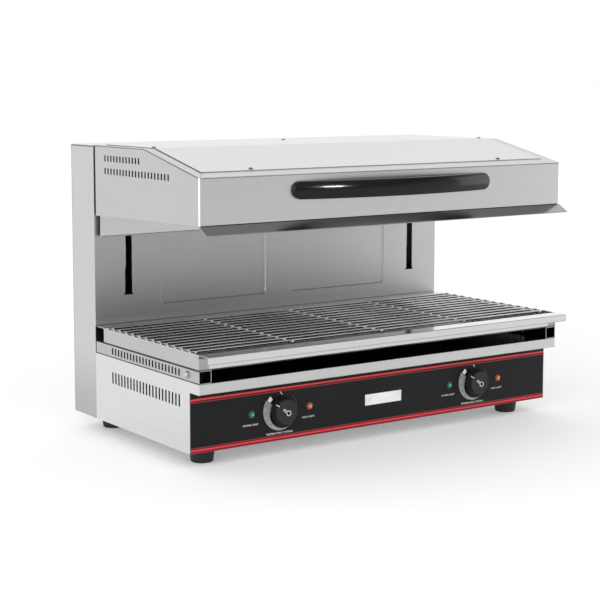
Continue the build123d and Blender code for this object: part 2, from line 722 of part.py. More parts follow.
def drip_tray():
    """Open pan on the rails, with a front lip, a ledge towards the column and seats for the rack's wires."""
    outline = Pos(0, rail_top + TRAY_HEIGHT / 2) * Rectangle(WIDTH, TRAY_HEIGHT)
    outline = fillet(outline.vertices().group_by(Axis.Y)[0], TRAY_BEND)
    pan = facing(outline, base_front, tray_rear)
    pan -= block(-inner, inner, base_front + SHEET, tray_rear - SHEET, rail_top + SHEET, tray_top + OVERRUN)
    under = tray_top - SHEET
    lip_inside = base_front - TRAY_LIP + SHEET
    pan += upright(folded(
        [(base_front + SHEET, under), (lip_inside, under), (lip_inside, tray_top - TRAY_LIP_DROP)],
        side=Side.RIGHT), -half, half)
    pan += block(-half, half, tray_rear - SHEET, column_front - TRAY_LEDGE_GAP, under, tray_top)
    for y in rack_lines():
        seat = Pos(y, rack_height) * Circle(RACK_WIRE_RADIUS + PLAY)
        pan -= upright(seat, -half - OVERRUN, half + OVERRUN)
    return pan


def wire_rack():
    """Rack of long wires welded across five bearers, its wire ends lying in the tray's edges."""
    reach = half - RACK_END_GAP
    lines = rack_lines()
    wires = [drum(RACK_WIRE_RADIUS, (-reach, y, rack_height), (reach, y, rack_height)) for y in lines]
    low = rack_height - RACK_WIRE_RADIUS - BEARER_RADIUS + WELD_DEPTH
    first = BEARER_INSET - half
    step = -(first + first) / (BEARER_COUNT - 1)
    places = [first + step * number for number in range(BEARER_COUNT)]
    tip = lines[-1] - BEARER_TAIL
    tail = lines[0] + BEARER_TAIL
    bearers = [drum(BEARER_RADIUS, (x, tip, low), (x, tail, low)) for x in places]
    return wires[0].fuse(*wires[1:], *bearers)


# Hood

def hood_outline(wall, bottom):
    """Side view of the hood, drawn in by a wall thickness, with its lower edge moved down by bottom."""
    rear = hood_rear - wall
    front = hood_front + wall
    slope_wall = wall * (1 + hood_slope ** 2) ** 0.5
    knee = hood_break + (slope_wall - wall) / hood_slope
    low_front = hood_front_bottom - bottom
    low_rear = hood_rear_bottom - bottom
    return make_face(Polyline(
        (rear, low_rear), (front, low_front), (front, hood_height(front) - slope_wall),
        (knee, COLUMN_HEIGHT - wall), (rear, COLUMN_HEIGHT - wall), close=True))


def hood_body(wall, bottom, radius):
    """The hood as a full block with rounded front corners, drawn in by a wall thickness."""
    shape = upright(hood_outline(wall, bottom), wall - half, half - wall)
    corners = shape.edges().filter_by(Axis.Z).group_by(Axis.Y)[0]
    return fillet(corners, radius)


def mitre_slit(side):
    """Cutter for the open mitre where the front and side flanges meet, -1 for the left one."""
    corner = BEND + BEND
    reach = COVER_LAP + OVERRUN
    side_end = half - HOOD_SIDE_MARGIN - reach
    front_end = hood_front + HOOD_FRONT_MARGIN + reach
    start = Vector(side * (half - corner), hood_front + corner, hood_front_top)
    run = Vector(side * side_end, front_end, hood_front_top) - start
    slit = Rectangle(HOOD_SLOPE_DROP, HOOD_MITRE)
    return extrude(Plane(start, x_dir=(0, 0, 1), z_dir=run) * slit, amount=run.length)


def hood_shell():
    """Front and sides of the hood in one folded sheet, with a flange round the top opening."""
    shell = hood_body(0, 0, BEND) - hood_body(SHEET, OVERRUN + OVERRUN, BEND - SHEET)
    above = COLUMN_HEIGHT + OVERRUN
    low = hood_rear_bottom - OVERRUN
    side_edge = half - HOOD_SIDE_MARGIN - COVER_LAP
    front_edge = hood_front + HOOD_FRONT_MARGIN + COVER_LAP
    flange_end = wall_front - REAR_WALL_FLANGE - PLAY
    knee = hood_front_top - BEND - SHEET
    shell -= block(-side_edge, side_edge, front_edge, 0, knee, above)
    shell -= block(-apron_offset - PLAY, apron_offset + PLAY, flange_end, wall_back, knee, above)
    shell -= [mitre_slit(-1), mitre_slit(1)]
    rear_edge = half - HOOD_REAR_FLANGE
    shell -= block(-rear_edge, rear_edge, wall_back - OVERRUN, 0, low, above)
    vents = vent_row(upper_vent_count, hood_vent_first, upper_vent_bottom, HOOD_VENT_HEIGHT)
    vents += vent_row(lower_vent_count, hood_vent_first, lower_vent_bottom, HOOD_VENT_HEIGHT)
    for vent in vents:
        shell -= upright(vent, -half - OVERRUN, half + OVERRUN)
    for place in handle_screw_places():
        shell -= drum(HANDLE_SCREW_RADIUS + RUNNING_GAP, (place, hood_front - OVERRUN, handle_middle),
                      (place, hood_front + OVERRUN, handle_middle))
    return shell - cover_screw_holes()


def cover_screw_places():
    """Places on the hood's top and the tilt of the top there, for the screws of the cover."""
    front = hood_front + HOOD_FRONT_MARGIN + COVER_SCREW_INSET
    side = half - HOOD_SIDE_MARGIN - COVER_SCREW_INSET
    rear = wall_front - REAR_WALL_FLANGE / 2
    corners = (-COVER_SCREW_OFFSET, COVER_SCREW_OFFSET)
    places = [(Pos(x, front, hood_height(front)), hood_tilt) for x in corners]
    places += [(Pos(x, hood_break + COVER_SCREW_BREAK_GAP, COLUMN_HEIGHT), 0) for x in (-side, side)]
    places += [(Pos(0, rear, COLUMN_HEIGHT), 0)]
    return places


def cover_screw_holes():
    """Cutters for the cover's screws, through the cover and the sheet under it."""
    hole = drum(COVER_SCREW_RADIUS + RUNNING_GAP, (0, 0, -COVER_SCREW_LENGTH), (0, 0, SHEET + OVERRUN))
    return [place * Rot(tilt, 0, 0) * hole for place, tilt in cover_screw_places()]


def hood_cover():
    """Bent cover plate over the hood's top opening."""
    front = hood_front + HOOD_FRONT_MARGIN
    side = half - HOOD_SIDE_MARGIN
    section = folded([(front, hood_height(front)), (hood_break, COLUMN_HEIGHT), (wall_back, COLUMN_HEIGHT)])
    plate = upright(section, -side, side)
    return plate - cover_screw_holes()


def cover_screws():
    """Round-headed screws that hold the cover."""
    screw = round_screw(
        COVER_SCREW_RADIUS, COVER_SCREW_LENGTH, COVER_SCREW_HEAD_RADIUS, COVER_SCREW_HEAD_HEIGHT)
    return [place * Rot(tilt, 0, 0) * Pos(0, 0, SHEET) * screw for place, tilt in cover_screw_places()]


def hood_visor():
    """Deflector strip under the hood's front, sloping forwards and down."""
    section = folded(
        [(hood_front_inside, hood_front_bottom + VISOR_FLANGE), (hood_front_inside, hood_front_bottom - PLAY),
         (hood_front - VISOR_REACH, hood_front_bottom - VISOR_DROP)])
    strip = upright(section, -half, half)
    end = inner - BEND
    top = hood_front_bottom + VISOR_FLANGE + OVERRUN
    for x0, x1 in ((-half - OVERRUN, -end), (end, half + OVERRUN)):
        strip -= block(x0, x1, hood_front - PLAY, wall_back, hood_front_bottom - VISOR_DROP, top)
    return strip


def hood_rear_wall():
    """Rear wall of the hood, with a hemmed apron hanging below it and a flange under the cover."""
    section = folded(
        [(wall_front - APRON_HEM, apron_bottom + SHEET), (wall_front, apron_bottom + SHEET),
         (wall_front, COLUMN_HEIGHT - SHEET), (wall_front - REAR_WALL_FLANGE, COLUMN_HEIGHT - SHEET)],
        side=Side.RIGHT)
    wall = upright(section, -apron_offset, apron_offset)
    for x, z in arm_bolt_places():
        wall -= drum(ARM_BOLT_RADIUS + RUNNING_GAP, (x, wall_front - OVERRUN, z), (x, wall_back + OVERRUN, z))
    return wall - cover_screw_holes()


# Handle

def handle_screw_places():
    """X of the two handle screws, in the middle of the handle's feet."""
    reach = (HANDLE_LENGTH - HANDLE_FOOT) / 2
    return (-reach, reach)


def handle():
    """Bowed moulded handle, crowned in front, with a finger gap behind its middle."""
    end = HANDLE_LENGTH / 2
    rise = HANDLE_BOW - HANDLE_END
    sweep = (end ** 2 + rise ** 2) / (rise + rise)
    front = hood_front - HANDLE_BOW
    shoulder = front + HANDLE_CROWN
    back = hood_front + HANDLE_BOW
    low = handle_bottom
    high = handle_bottom + HANDLE_HEIGHT
    section = Polyline((shoulder, high), (back, high), (back, low), (shoulder, low))
    section += ThreePointArc((shoulder, low), (front, handle_middle), (shoulder, high))
    pivot = front + sweep
    turn = degrees(asin((end + HANDLE_BOW) / (pivot - back)))
    swept = revolve(Pos(0, -pivot, 0) * (Plane.YZ * make_face(section)), Axis.Z, turn + turn)
    bow = Pos(0, pivot, 0) * Rot(0, 0, -turn) * swept
    outline = Pos(0, handle_middle) * RectangleRounded(
        HANDLE_LENGTH, HANDLE_HEIGHT, HANDLE_HEIGHT * HANDLE_ROUND_SHARE)
    bow &= facing(outline, front - OVERRUN, hood_front)
    front_face = bow.faces().filter_by(GeomType.TORUS).sort_by(SortBy.AREA)[-1]
    bow = fillet(front_face.edges(), HANDLE_EDGE)
    foot = end - HANDLE_FOOT
    gap = ThreePointArc((-foot, hood_front), (0, front + HANDLE_GRIP), (foot, hood_front))
    beyond = hood_front + OVERRUN
    gap += Polyline((foot, hood_front), (foot, beyond), (-foot, beyond), (-foot, hood_front))
    bow -= Pos(0, 0, low - OVERRUN) * extrude(make_face(gap), amount=high - low + OVERRUN + OVERRUN)
    for x in handle_screw_places():
        bow -= drum(HANDLE_SCREW_RADIUS + RUNNING_GAP, (x, hood_front - HANDLE_SCREW_LENGTH, handle_middle),
                    (x, hood_front + OVERRUN, handle_middle))
    return bow


def handle_screws():
    """Screws through the hood's front into the handle's feet."""
    length = HANDLE_SCREW_LENGTH + SHEET - PLAY
    screw = round_screw(HANDLE_SCREW_RADIUS, length, HANDLE_SCREW_HEAD_RADIUS, HANDLE_SCREW_HEAD_HEIGHT)
    return [Pos(x, hood_front_inside, handle_middle) * Rot(-90, 0, 0) * screw for x in handle_screw_places()]


# Heating

def heater_tail_places():
    """Where the left heating element goes up through the reflector."""
    return [(-HEATER_INNER, heater_lines[0]), (-HEATER_INNER, heater_lines[-1])]


def tail_holes(z0, z1):
    """Openings for the tails of both heating elements."""
    return [
        drum(HEATER_RADIUS + PLAY, (side * x, y, z0 - OVERRUN), (side * x, y, z1 + OVERRUN))
        for side in (-1, 1) for x, y in heater_tail_places()
    ]


def reflector():
    """Shallow bright pan over the heating elements, open downwards."""
    front = hood_front_inside + SHEET
    width = inner + inner - PLAY - PLAY
    depth = wall_front - front
    middle = (wall_front + front) / 2
    wide = RectangleRounded(width, depth, BEND)
    inset = REFLECTOR_SLOPE + REFLECTOR_SLOPE
    narrow = RectangleRounded(width - inset, depth - inset, BEND)
    hump = loft([Pos(0, middle, rim_top) * wide, Pos(0, middle, reflector_top) * narrow])
    pan = hump - Pos(0, 0, -REFLECTOR_SHEET) * hump
    return pan - tail_holes(reflector_under, reflector_top)


def reflector_ledges():
    """Four strips inside the hood that the reflector's edge rests on."""
    front = hood_front_inside + SHEET
    side = inner - PLAY
    reach = side - BEND
    ledges = [block(-reach, reach, y, y + SHEET, rim_bottom, rim_top) for y in (front, wall_front - SHEET)]
    for x in (-side, side - SHEET):
        ledges.append(block(x, x + SHEET, front + BEND, wall_front - BEND, rim_bottom, rim_top))
    return ledges


def insulation_pad():
    """Insulation lying on the reflector."""
    front = hood_front_inside + SHEET + REFLECTOR_SLOPE + INSULATION_INSET
    back = wall_front - REFLECTOR_SLOPE - INSULATION_INSET
    side = inner - PLAY - REFLECTOR_SLOPE - INSULATION_INSET
    top = reflector_top + INSULATION_THICKNESS
    return block(-side, side, front, back, reflector_top, top) - tail_holes(reflector_top, top)


def heater():
    """Tubular heating element of the left zone, bent in runs along X under the reflector."""
    z = heater_height
    points = [(-HEATER_INNER, heater_lines[0], heater_top), (-HEATER_INNER, heater_lines[0], z)]
    for number in range(1, HEATER_RUNS):
        turn = -heater_outer if number % 2 else -HEATER_RETURN
        points += [(turn, heater_lines[number - 1], z), (turn, heater_lines[number], z)]
    points += [(-HEATER_INNER, heater_lines[-1], z), (-HEATER_INNER, heater_lines[-1], heater_top)]
    bends = [HEATER_TAIL_BEND] + [HEATER_BEND] * (len(points) - 4) + [HEATER_TAIL_BEND]
    path = FilletPolyline(*points, radius=bends)
    return sweep(Plane(origin=path @ 0, z_dir=path % 0) * Circle(HEATER_RADIUS), path=path)


def heater_brackets():
    """Strips under the reflector that carry the heating elements."""
    margin = HEATER_RADIUS + BRACKET_BESIDE
    bottom = heater_height - HEATER_RADIUS - BRACKET_BELOW
    near = HEATER_RETURN + BRACKET_INSET
    far = heater_outer - BRACKET_INSET
    strips = []
    for x in (-far, -near, near, far):
        strip = block(
            x - BRACKET_SHEET / 2, x + BRACKET_SHEET / 2, heater_last - margin, heater_first + margin,
            bottom, reflector_under)
        for y in heater_lines:
            start = (x - OVERRUN, y, heater_height)
            strip -= drum(HEATER_RADIUS + PLAY, start, (x + OVERRUN, y, heater_height))
        strips.append(strip)
    return strips


# Lift

def arm_bolt_places():
    """X and Z of the bolts that hold the lift arms to the hood."""
    return [
        (arm + side * ARM_BOLT_SIDE, arm_bottom + rise)
        for arm in (-slot_offset, slot_offset) for side in (-1, 1) for rise in (ARM_BOLT_LOW, ARM_BOLT_HIGH)
    ]


def lift_arm(x):
    """Arm from the carriage through the column's slot to the hood, with a plate at each end."""
    plate_back = wall_back + ARM_PLATE
    plate_half = ARM_PLATE_WIDTH / 2
    web_half = ARM_THICKNESS / 2
    rear_plate = carriage_front - ARM_PLATE
    arm = block(x - plate_half, x + plate_half, wall_back, plate_back, arm_bottom, arm_top)
    arm += block(x - web_half, x + web_half, plate_back, rear_plate, arm_bottom, arm_top)
    arm += block(x - plate_half, x + plate_half, rear_plate, carriage_front, arm_bottom, arm_top)
    strip_edge = x - SLOT_WIDTH / 2
    strip_front = column_inside + ARM_STRIP_GAP
    arm += block(
        strip_edge, strip_edge + ARM_STRIP_WIDTH, strip_front, strip_front + ARM_STRIP_DEPTH,
        arm_bottom - ARM_STRIP_DROP, arm_top)
    hole = ARM_BOLT_RADIUS + RUNNING_GAP
    for bolt_x, z in arm_bolt_places():
        arm -= drum(hole, (bolt_x, wall_back - OVERRUN, z), (bolt_x, plate_back + OVERRUN, z))
    return arm


def arm_bolts():
    """Bolts through the hood's rear wall into the arm plates."""
    bolt = hex_prism(ARM_BOLT_HEAD, ARM_BOLT_HEAD_HEIGHT)
    bolt += drum(ARM_BOLT_RADIUS, (0, 0, -SHEET - ARM_PLATE), (0, 0, 0))
    return [Pos(x, wall_front, z) * Rot(90, 0, 0) * bolt for x, z in arm_bolt_places()]


def carriage():
    """Block that runs on the guide rod, bored for two bushes."""
    x = -slot_offset
    body = block(
        x - CARRIAGE_WIDTH / 2, x + CARRIAGE_WIDTH / 2, carriage_front, carriage_front + CARRIAGE_DEPTH,
        carriage_bottom, carriage_top)
    bottom = (x, -ROD_DEPTH, carriage_bottom - OVERRUN)
    return body - drum(BUSH_RADIUS, bottom, (x, -ROD_DEPTH, carriage_top + OVERRUN))


def carriage_bushes():
    """Bush in each end of both carriages, running on the guide rods."""
    ring = Circle(BUSH_RADIUS) - Circle(ROD_RADIUS + RUNNING_GAP)
    bush = extrude(ring, amount=BUSH_LENGTH)
    ends = (carriage_bottom, carriage_top - BUSH_LENGTH)
    return [Pos(x, -ROD_DEPTH, z) * bush for x in (-slot_offset, slot_offset) for z in ends]


def carriage_crossbar():
    """Bar between the two carriages, which the gas springs push up."""
    reach = slot_offset - CARRIAGE_WIDTH / 2
    return block(
        -reach, reach, -ROD_DEPTH - CROSSBAR_THICKNESS / 2, -ROD_DEPTH + CROSSBAR_THICKNESS / 2,
        crossbar_bottom, crossbar_bottom + CROSSBAR_HEIGHT)


def lift_bracket():
    """Plate on the back panel with an upper and a lower lug for the guide rod."""
    x = -slot_offset
    plate_front = -SHEET - LIFT_PLATE
    bracket = block(
        x - LIFT_PLATE_WIDTH / 2, x + LIFT_PLATE_WIDTH / 2, plate_front, -SHEET,
        lift_lower - LUG_THICKNESS, lift_upper + LUG_THICKNESS)
    for z in (lift_lower, lift_upper):
        bracket += block(
            x - LUG_WIDTH / 2, x + LUG_WIDTH / 2, -ROD_DEPTH - LUG_REACH, plate_front, z, z + LUG_THICKNESS)
    bottom = (x, -ROD_DEPTH, lift_lower - OVERRUN)
    top = (x, -ROD_DEPTH, lift_upper + LUG_THICKNESS + OVERRUN)
    return bracket - drum(ROD_RADIUS + RUNNING_GAP, bottom, top)


def guide_rod():
    """Round rod that the carriage runs on."""
    x = -slot_offset
    return drum(ROD_RADIUS, (x, -ROD_DEPTH, lift_lower - ROD_PROUD),
                (x, -ROD_DEPTH, lift_upper + LUG_THICKNESS + ROD_PROUD))


def strut_cylinder():
    """Cylinder of a gas spring, standing on the floor of the column."""
    foot_top = SHEET + STRUT_FOOT
    bore = STRUT_RADIUS - STRUT_WALL
    throat = STRUT_ROD_RADIUS + RUNNING_GAP
    ceiling = strut_top - STRUT_CAP
    tube = turned(Polyline(
        (0, SHEET), (STRUT_FOOT_RADIUS, SHEET), (STRUT_FOOT_RADIUS, foot_top), (STRUT_RADIUS, foot_top),
        (STRUT_RADIUS, strut_top), (throat, strut_top), (throat, ceiling), (bore, ceiling),
        (bore, foot_top), (0, foot_top), close=True))
    return Pos(-strut_offset, -ROD_DEPTH, 0) * tube


def strut_rod():
    """Rod of a gas spring with its piston, pushing up under the crossbar."""
    ceiling = strut_top - STRUT_CAP
    piston_top = ceiling - STRUT_PISTON_DROP
    piston = STRUT_RADIUS - STRUT_WALL - STRUT_PISTON_GAP
    rod = turned(Polyline(
        (0, piston_top - STRUT_PISTON), (piston, piston_top - STRUT_PISTON), (piston, piston_top),
        (STRUT_ROD_RADIUS, piston_top), (STRUT_ROD_RADIUS, crossbar_bottom), (0, crossbar_bottom),
        close=True))
    return Pos(-strut_offset, -ROD_DEPTH, 0) * rod


# Assembly

paired = {
    "column_side": column_side(),
    "base_side": base_side(),
    "tray_rail": rail(),
    "heating_element": heater(),
    "lift_carriage": carriage(),
    "lift_bracket": lift_bracket(),
    "guide_rod": guide_rod(),
    "gas_spring_cylinder": strut_cylinder(),
    "gas_spring_rod": strut_rod(),
}
single = {
    "column_front_panel": column_front_panel(),
    "column_back_panel": column_back_panel(),
    "column_top_cap": column_top_cap(),
    "cable_gland": cable_gland(),
    "gland_locknut": gland_locknut(),
    "base_floor": base_floor(),
    "base_deck": base_deck(),
    "control_panel": control_panel(),
    "rail_screws": rail_screws(),
    "feet": feet(),
    "foot_screws": foot_screws(),
    "foot_nuts": foot_nuts(),
    "thermostat_left": thermostat(-KNOB_OFFSET),
    "thermostat_right": thermostat(KNOB_OFFSET),
    "thermostat_shaft_left": thermostat_shaft(-KNOB_OFFSET),
    "thermostat_shaft_right": thermostat_shaft(KNOB_OFFSET),
    "knob_left": knob(-KNOB_OFFSET),
    "knob_right": knob(KNOB_OFFSET),
    "lamp_bodies": lamp_bodies(),
    "lamp_lenses_green": lamp_lenses(-1),
    "lamp_lenses_orange": lamp_lenses(1),
    "terminal_block": terminal_block(),
    "drip_tray": drip_tray(),
    "wire_rack": wire_rack(),
    "hood_shell": hood_shell(),
    "hood_cover": hood_cover(),
    "cover_screws": cover_screws(),
    "hood_visor": hood_visor(),
    "hood_rear_wall": hood_rear_wall(),
    "handle": handle(),
    "handle_screws": handle_screws(),
    "reflector": reflector(),
    "reflector_ledges": reflector_ledges(),
    "insulation_pad": insulation_pad(),
    "heater_brackets": heater_brackets(),
    "lift_arm_left": lift_arm(-slot_offset),
    "lift_arm_right": lift_arm(slot_offset),
    "arm_bolts": arm_bolts(),
    "carriage_bushes": carriage_bushes(),
    "carriage_crossbar": carriage_crossbar(),
}
nodes = dict(single)
for name, shape in paired.items():
    nodes[name + "_left"] = shape
    nodes[name + "_right"] = mirrored(shape)

os.makedirs("parts", exist_ok=True)
for name, shape in nodes.items():
    solids = shape if isinstance(shape, list) else [shape]
    placed = [Pos(0, y_origin, FOOT_HEIGHT) * solid for solid in solids]
    export_step(placed[0] if len(placed) == 1 else Compound(placed), f"parts/{name}.step")
print(len(nodes), "nodes")
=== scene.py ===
from math import asin, atan2, cos, pi, radians, sin

import bmesh
import bpy
from mathutils import Matrix, Vector


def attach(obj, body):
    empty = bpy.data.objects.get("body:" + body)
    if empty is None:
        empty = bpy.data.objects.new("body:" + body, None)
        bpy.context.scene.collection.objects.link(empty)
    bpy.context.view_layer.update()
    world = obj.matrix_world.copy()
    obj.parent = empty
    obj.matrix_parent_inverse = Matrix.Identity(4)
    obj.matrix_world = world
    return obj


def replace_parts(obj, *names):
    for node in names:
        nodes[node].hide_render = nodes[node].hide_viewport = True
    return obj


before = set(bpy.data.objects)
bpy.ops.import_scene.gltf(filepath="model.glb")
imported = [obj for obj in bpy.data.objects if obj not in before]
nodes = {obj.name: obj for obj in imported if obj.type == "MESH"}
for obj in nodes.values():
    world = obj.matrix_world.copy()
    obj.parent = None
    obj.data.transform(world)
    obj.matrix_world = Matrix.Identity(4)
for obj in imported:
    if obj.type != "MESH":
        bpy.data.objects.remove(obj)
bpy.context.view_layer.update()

# Salamander grill: finishes, printed panel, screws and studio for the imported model.
# Lengths are metres in the model's own frame: X to the right, Y to the back, Z up.

scene = bpy.context.scene

# The hood's top: front edge, break between slope and flat, height of the flat, and rise of the slope. Then the front
# edge of the cover on it.
FRONT_EDGE = -0.21615
BREAK_Y = FRONT_EDGE + 0.1796
TOP_Z = 0.528
SLOPE_RATE = 40.0 / 179.6
COVER_FRONT = FRONT_EDGE + 0.030

# The casing: half of its width, the outer skin of its side sheets, the end of their front bends, joints in it, and the
# heights over which painted shade fades up from a side wall's foot.
HALF_WIDTH = 0.400
SIDE_SKIN = 0.3985
BEND_END = -0.19
BASE_JOINT = 0.1501
CAP_JOINT = 0.5249
WALL_FOOT = (0.03, 0.16)

# The hood's shell: skin of its sides, height and depth of its folds, and the height above which its rear is inside.
HOOD_SKIN = 0.3986
FOLD_HEIGHT, FOLD_DEPTH = 0.0016, 0.0015
REAR_INSIDE = 0.43

# The tray rails: middle of the tube, half of its hollow, its outer skin, and the joints below and above it.
RAIL_X, RAIL_Z = 0.388, 0.16175
RAIL_HOLLOW_X, RAIL_HOLLOW_Z = 0.0109, 0.0099
RAIL_SKIN = 0.397
RAIL_FOOT, RAIL_TOP = 0.1517, 0.1712

# The tray: top of its seat on the rails, front wall, ends of that wall, underside of the lip, and shade behind it.
TRAY_SEAT = 0.1748
TRAY_FRONT = -0.225
TRAY_ENDS = (0.3795, 0.3815)
LIP_Z, LIP_HALF, LIP_FRONT = 0.1874, 0.0006, -0.2403
TRAY_SHADE = (0.1975, 0.2005)

# The two knobs: their places along the panel, their height, and how far aside their lamps are.
KNOBS = {"left": -0.219, "right": 0.219}
KNOB_Z = 0.081
LAMP_ASIDE = 0.060

# Radii of the edges of sheets and mouldings, and tones that are laid over steel as painted shade and a painted
# highlight.
SHEET_EDGE = 0.0009
MOULD_EDGE = 0.0007
FACING_SHADE = (0.02, 0.02, 0.02)
SHADOW = (0.012, 0.012, 0.012)
HIGHLIGHT_TONE = (0.97, 0.97, 0.965)


# Node materials

def fill_ramp(band, stops):
    """Gives a colour band its stops, each a place and a colour, in order."""
    while len(band.elements) < len(stops):
        band.elements.new(0.5)
    for element, (place, colour) in zip(band.elements, stops):
        element.position = place
        element.color = (*colour, 1.0)


class Paint:
    """A node material with short calls for adding nodes to it."""

    def __init__(self, name):
        self.material = bpy.data.materials.new(name)
        self.material.use_nodes = True
        self.tree = self.material.node_tree
        self.shader = next(n for n in self.tree.nodes if n.type == "BSDF_PRINCIPLED")
        coordinates = self.tree.nodes.new("ShaderNodeTexCoord")
        self.place = coordinates.outputs["Object"]
        self.normal = coordinates.outputs["Normal"]

    def add(self, kind, inputs=(), **settings):
        node = self.tree.nodes.new(kind)
        for key, value in settings.items():
            setattr(node, key, value)
        for key, value in dict(inputs).items():
            self.plug(node.inputs[key], value)
        return node

    def plug(self, socket, value):
        if isinstance(value, bpy.types.NodeSocket):
            self.tree.links.new(value, socket)
        else:
            socket.default_value = value

    def math(self, operation, first, second=0.0):
        return self.add("ShaderNodeMath", {0: first, 1: second}, operation=operation).outputs[0]

    def plus(self, first, second):
        return self.math("ADD", first, second)

    def minus(self, first, second):
        return self.math("SUBTRACT", first, second)

    def times(self, first, second):
        return self.math("MULTIPLY", first, second)

    def size(self, value):
        return self.math("ABSOLUTE", value)

    def over(self, value, limit):
        """1 where a value is over a limit."""
        return self.math("GREATER_THAN", value, limit)

    def below(self, value, limit):
        """1 where a value is below a limit."""
        return self.math("LESS_THAN", value, limit)

    def near(self, value, middle, half):
        """1 where a value is within half of a middle value."""
        return self.below(self.size(self.minus(value, middle)), half)

    def most(self, first, *others):
        """The largest of some values."""
        for other in others:
            first = self.math("MAXIMUM", first, other)
        return first

    def blend(self, first, second, share):
        """A share of the first value and the rest of the second."""
        return self.plus(self.times(first, share), self.times(second, 1.0 - share))

    def choose(self, mask, low, high):
        """low where the mask is 0 and high where it is 1, for two numbers."""
        return self.plus(low, self.times(self.minus(high, low), mask))

    def split(self, vector):
        return self.add("ShaderNodeSeparateXYZ", {0: vector}).outputs

    def vector(self, x, y, z=0.0):
        return self.add("ShaderNodeCombineXYZ", {0: x, 1: y, 2: z}).outputs[0]

    def noise(self, vector, scale, detail=2.0, flat=False):
        node = self.add("ShaderNodeTexNoise", {"Vector": vector, "Scale": scale, "Detail": detail})
        node.noise_dimensions = "2D" if flat else "3D"
        return node.outputs[0]

    def streaks(self, along, across, stretch, fineness, detail=2.0):
        """Flat noise that is drawn out along one direction."""
        return self.noise(
            self.vector(self.times(along, stretch), self.times(across, fineness)), 1.0, detail, flat=True)

    def spread(self, value, low, high, to_low, to_high):
        return self.add("ShaderNodeMapRange", {
            "Value": value, "From Min": low, "From Max": high, "To Min": to_low, "To Max": to_high}).outputs[0]

    def ramp(self, value, stops):
        node = self.add("ShaderNodeValToRGB", {"Fac": value})
        fill_ramp(node.color_ramp, stops)
        return node.outputs["Color"]

    def tones(self, value, tone, places, dark, light):
        """Colours round a tone: it times dark, itself, and it times light, at three places."""
        return self.ramp(value, tuple(zip(places, (shade(tone, dark), tone, shade(tone, light)))))

    def overlay(self, mask, colour, tone):
        """A colour with a plain tone laid over it by a mask."""
        node = self.add("ShaderNodeMix", data_type="RGBA")
        for socket, value in ((0, mask), (6, colour), (7, (*tone, 1.0))):
            self.plug(node.inputs[socket], value)
        return node.outputs[2]

    def bevelled(self, radius):
        return self.add("ShaderNodeBevel", {"Radius": radius}, samples=4).outputs[0]

    def edge(self, rounded):
        """1 on sharp edges and 0 elsewhere, from the rounded normal."""
        flat = self.add("ShaderNodeNewGeometry").outputs["True Normal"]
        dot = self.add("ShaderNodeVectorMath", {0: rounded, 1: flat}, operation="DOT_PRODUCT").outputs["Value"]
        return self.spread(dot, 0.75, 1.0, 1.0, 0.0)

    def bump(self, height, strength, distance, normal=None):
        inputs = {"Height": height, "Strength": strength, "Distance": distance}
        if normal:
            inputs["Normal"] = normal
        return self.add("ShaderNodeBump", inputs).outputs[0]

    def finish(self, **values):
        for key, value in values.items():
            self.plug(self.shader.inputs[key.replace("_", " ")], value)
        return self.material


def shade(tone, factor):
    return tuple(min(channel * factor, 1.0) for channel in tone)


def steel(name, tone, rough, shade_facing=0.0, edge_highlight=0.3, shade_mask=None, highlight_mask=None):
    """Brushed sheet steel. The grain runs level round the sides, and along X on flat tops.

    Faces that look up (with 1) or down (with -1) can get painted shade; the two masks lay painted shade and a painted
    highlight, and sharp edges get a painted highlight of the given strength.
    """
    p = Paint(name)
    x, y, z = p.split(p.place)
    lift = p.split(p.normal)[2]
    level = p.over(p.size(lift), 0.7)
    along = p.plus(x, y)
    across = p.choose(level, z, y)
    fine = p.streaks(along, across, 4.0, 1500.0)
    coarse = p.streaks(along, across, 1.4, 140.0, 3.0)
    cloud = p.noise(p.place, 3.5, 3.0)
    grain = p.blend(fine, coarse, 0.6)
    colour = p.tones(p.blend(grain, cloud, 0.6), tone, (0.34, 0.5, 0.66), 0.96, 1.03)
    rounded = p.bevelled(SHEET_EDGE)
    # Sharp edges are lightened towards a brighter tone: a painted highlight.
    colour = p.overlay(p.times(p.edge(rounded), edge_highlight), colour, shade(tone, 1.3))
    # Uneven strength for the painted shade and painted highlight laid below.
    patchiness = p.spread(p.noise(p.place, 9.0, 4.0), 0.3, 0.7, 0.75, 1.0)
    # Painted shade: faces that look up or down, as chosen, are laid near-black.
    if shade_facing:
        shaded_facing = p.over(p.times(lift, shade_facing), 0.5)
        colour = p.overlay(p.times(shaded_facing, patchiness), colour, FACING_SHADE)
    # The masks lay painted shade and a painted highlight over the steel.
    for mask, laid in ((shade_mask, SHADOW), (highlight_mask, HIGHLIGHT_TONE)):
        if mask:
            colour = p.overlay(p.times(mask(p, x, y, z), patchiness), colour, laid)
    scuff = p.blend(coarse, cloud, 0.4)
    return p.finish(
        Base_Color=colour, Metallic=1.0, Roughness=p.spread(scuff, 0.32, 0.68, rough - 0.03, rough + 0.04),
        Normal=p.bump(fine, 0.006, 0.0002, rounded))


# Masks of painted shade and painted highlight for steel, from a place on the part

def cut_edges(p, x, y, z):
    """1 on the cut edges of the slots in a side sheet, behind its front bend, for painted shade in the slots."""
    sideways = p.size(p.split(p.normal)[0])
    edge = p.times(p.below(sideways, 0.5), p.over(p.size(x), SIDE_SKIN))
    return p.times(edge, p.over(y, BEND_END))


def inner_faces(p, x, y, z):
    """1 on faces of a side sheet that are turned inwards or down, for painted shade."""
    across, _, lift = p.split(p.normal)
    inwards = p.below(p.times(x, across), -0.1)
    return p.most(inwards, p.below(lift, -0.5))


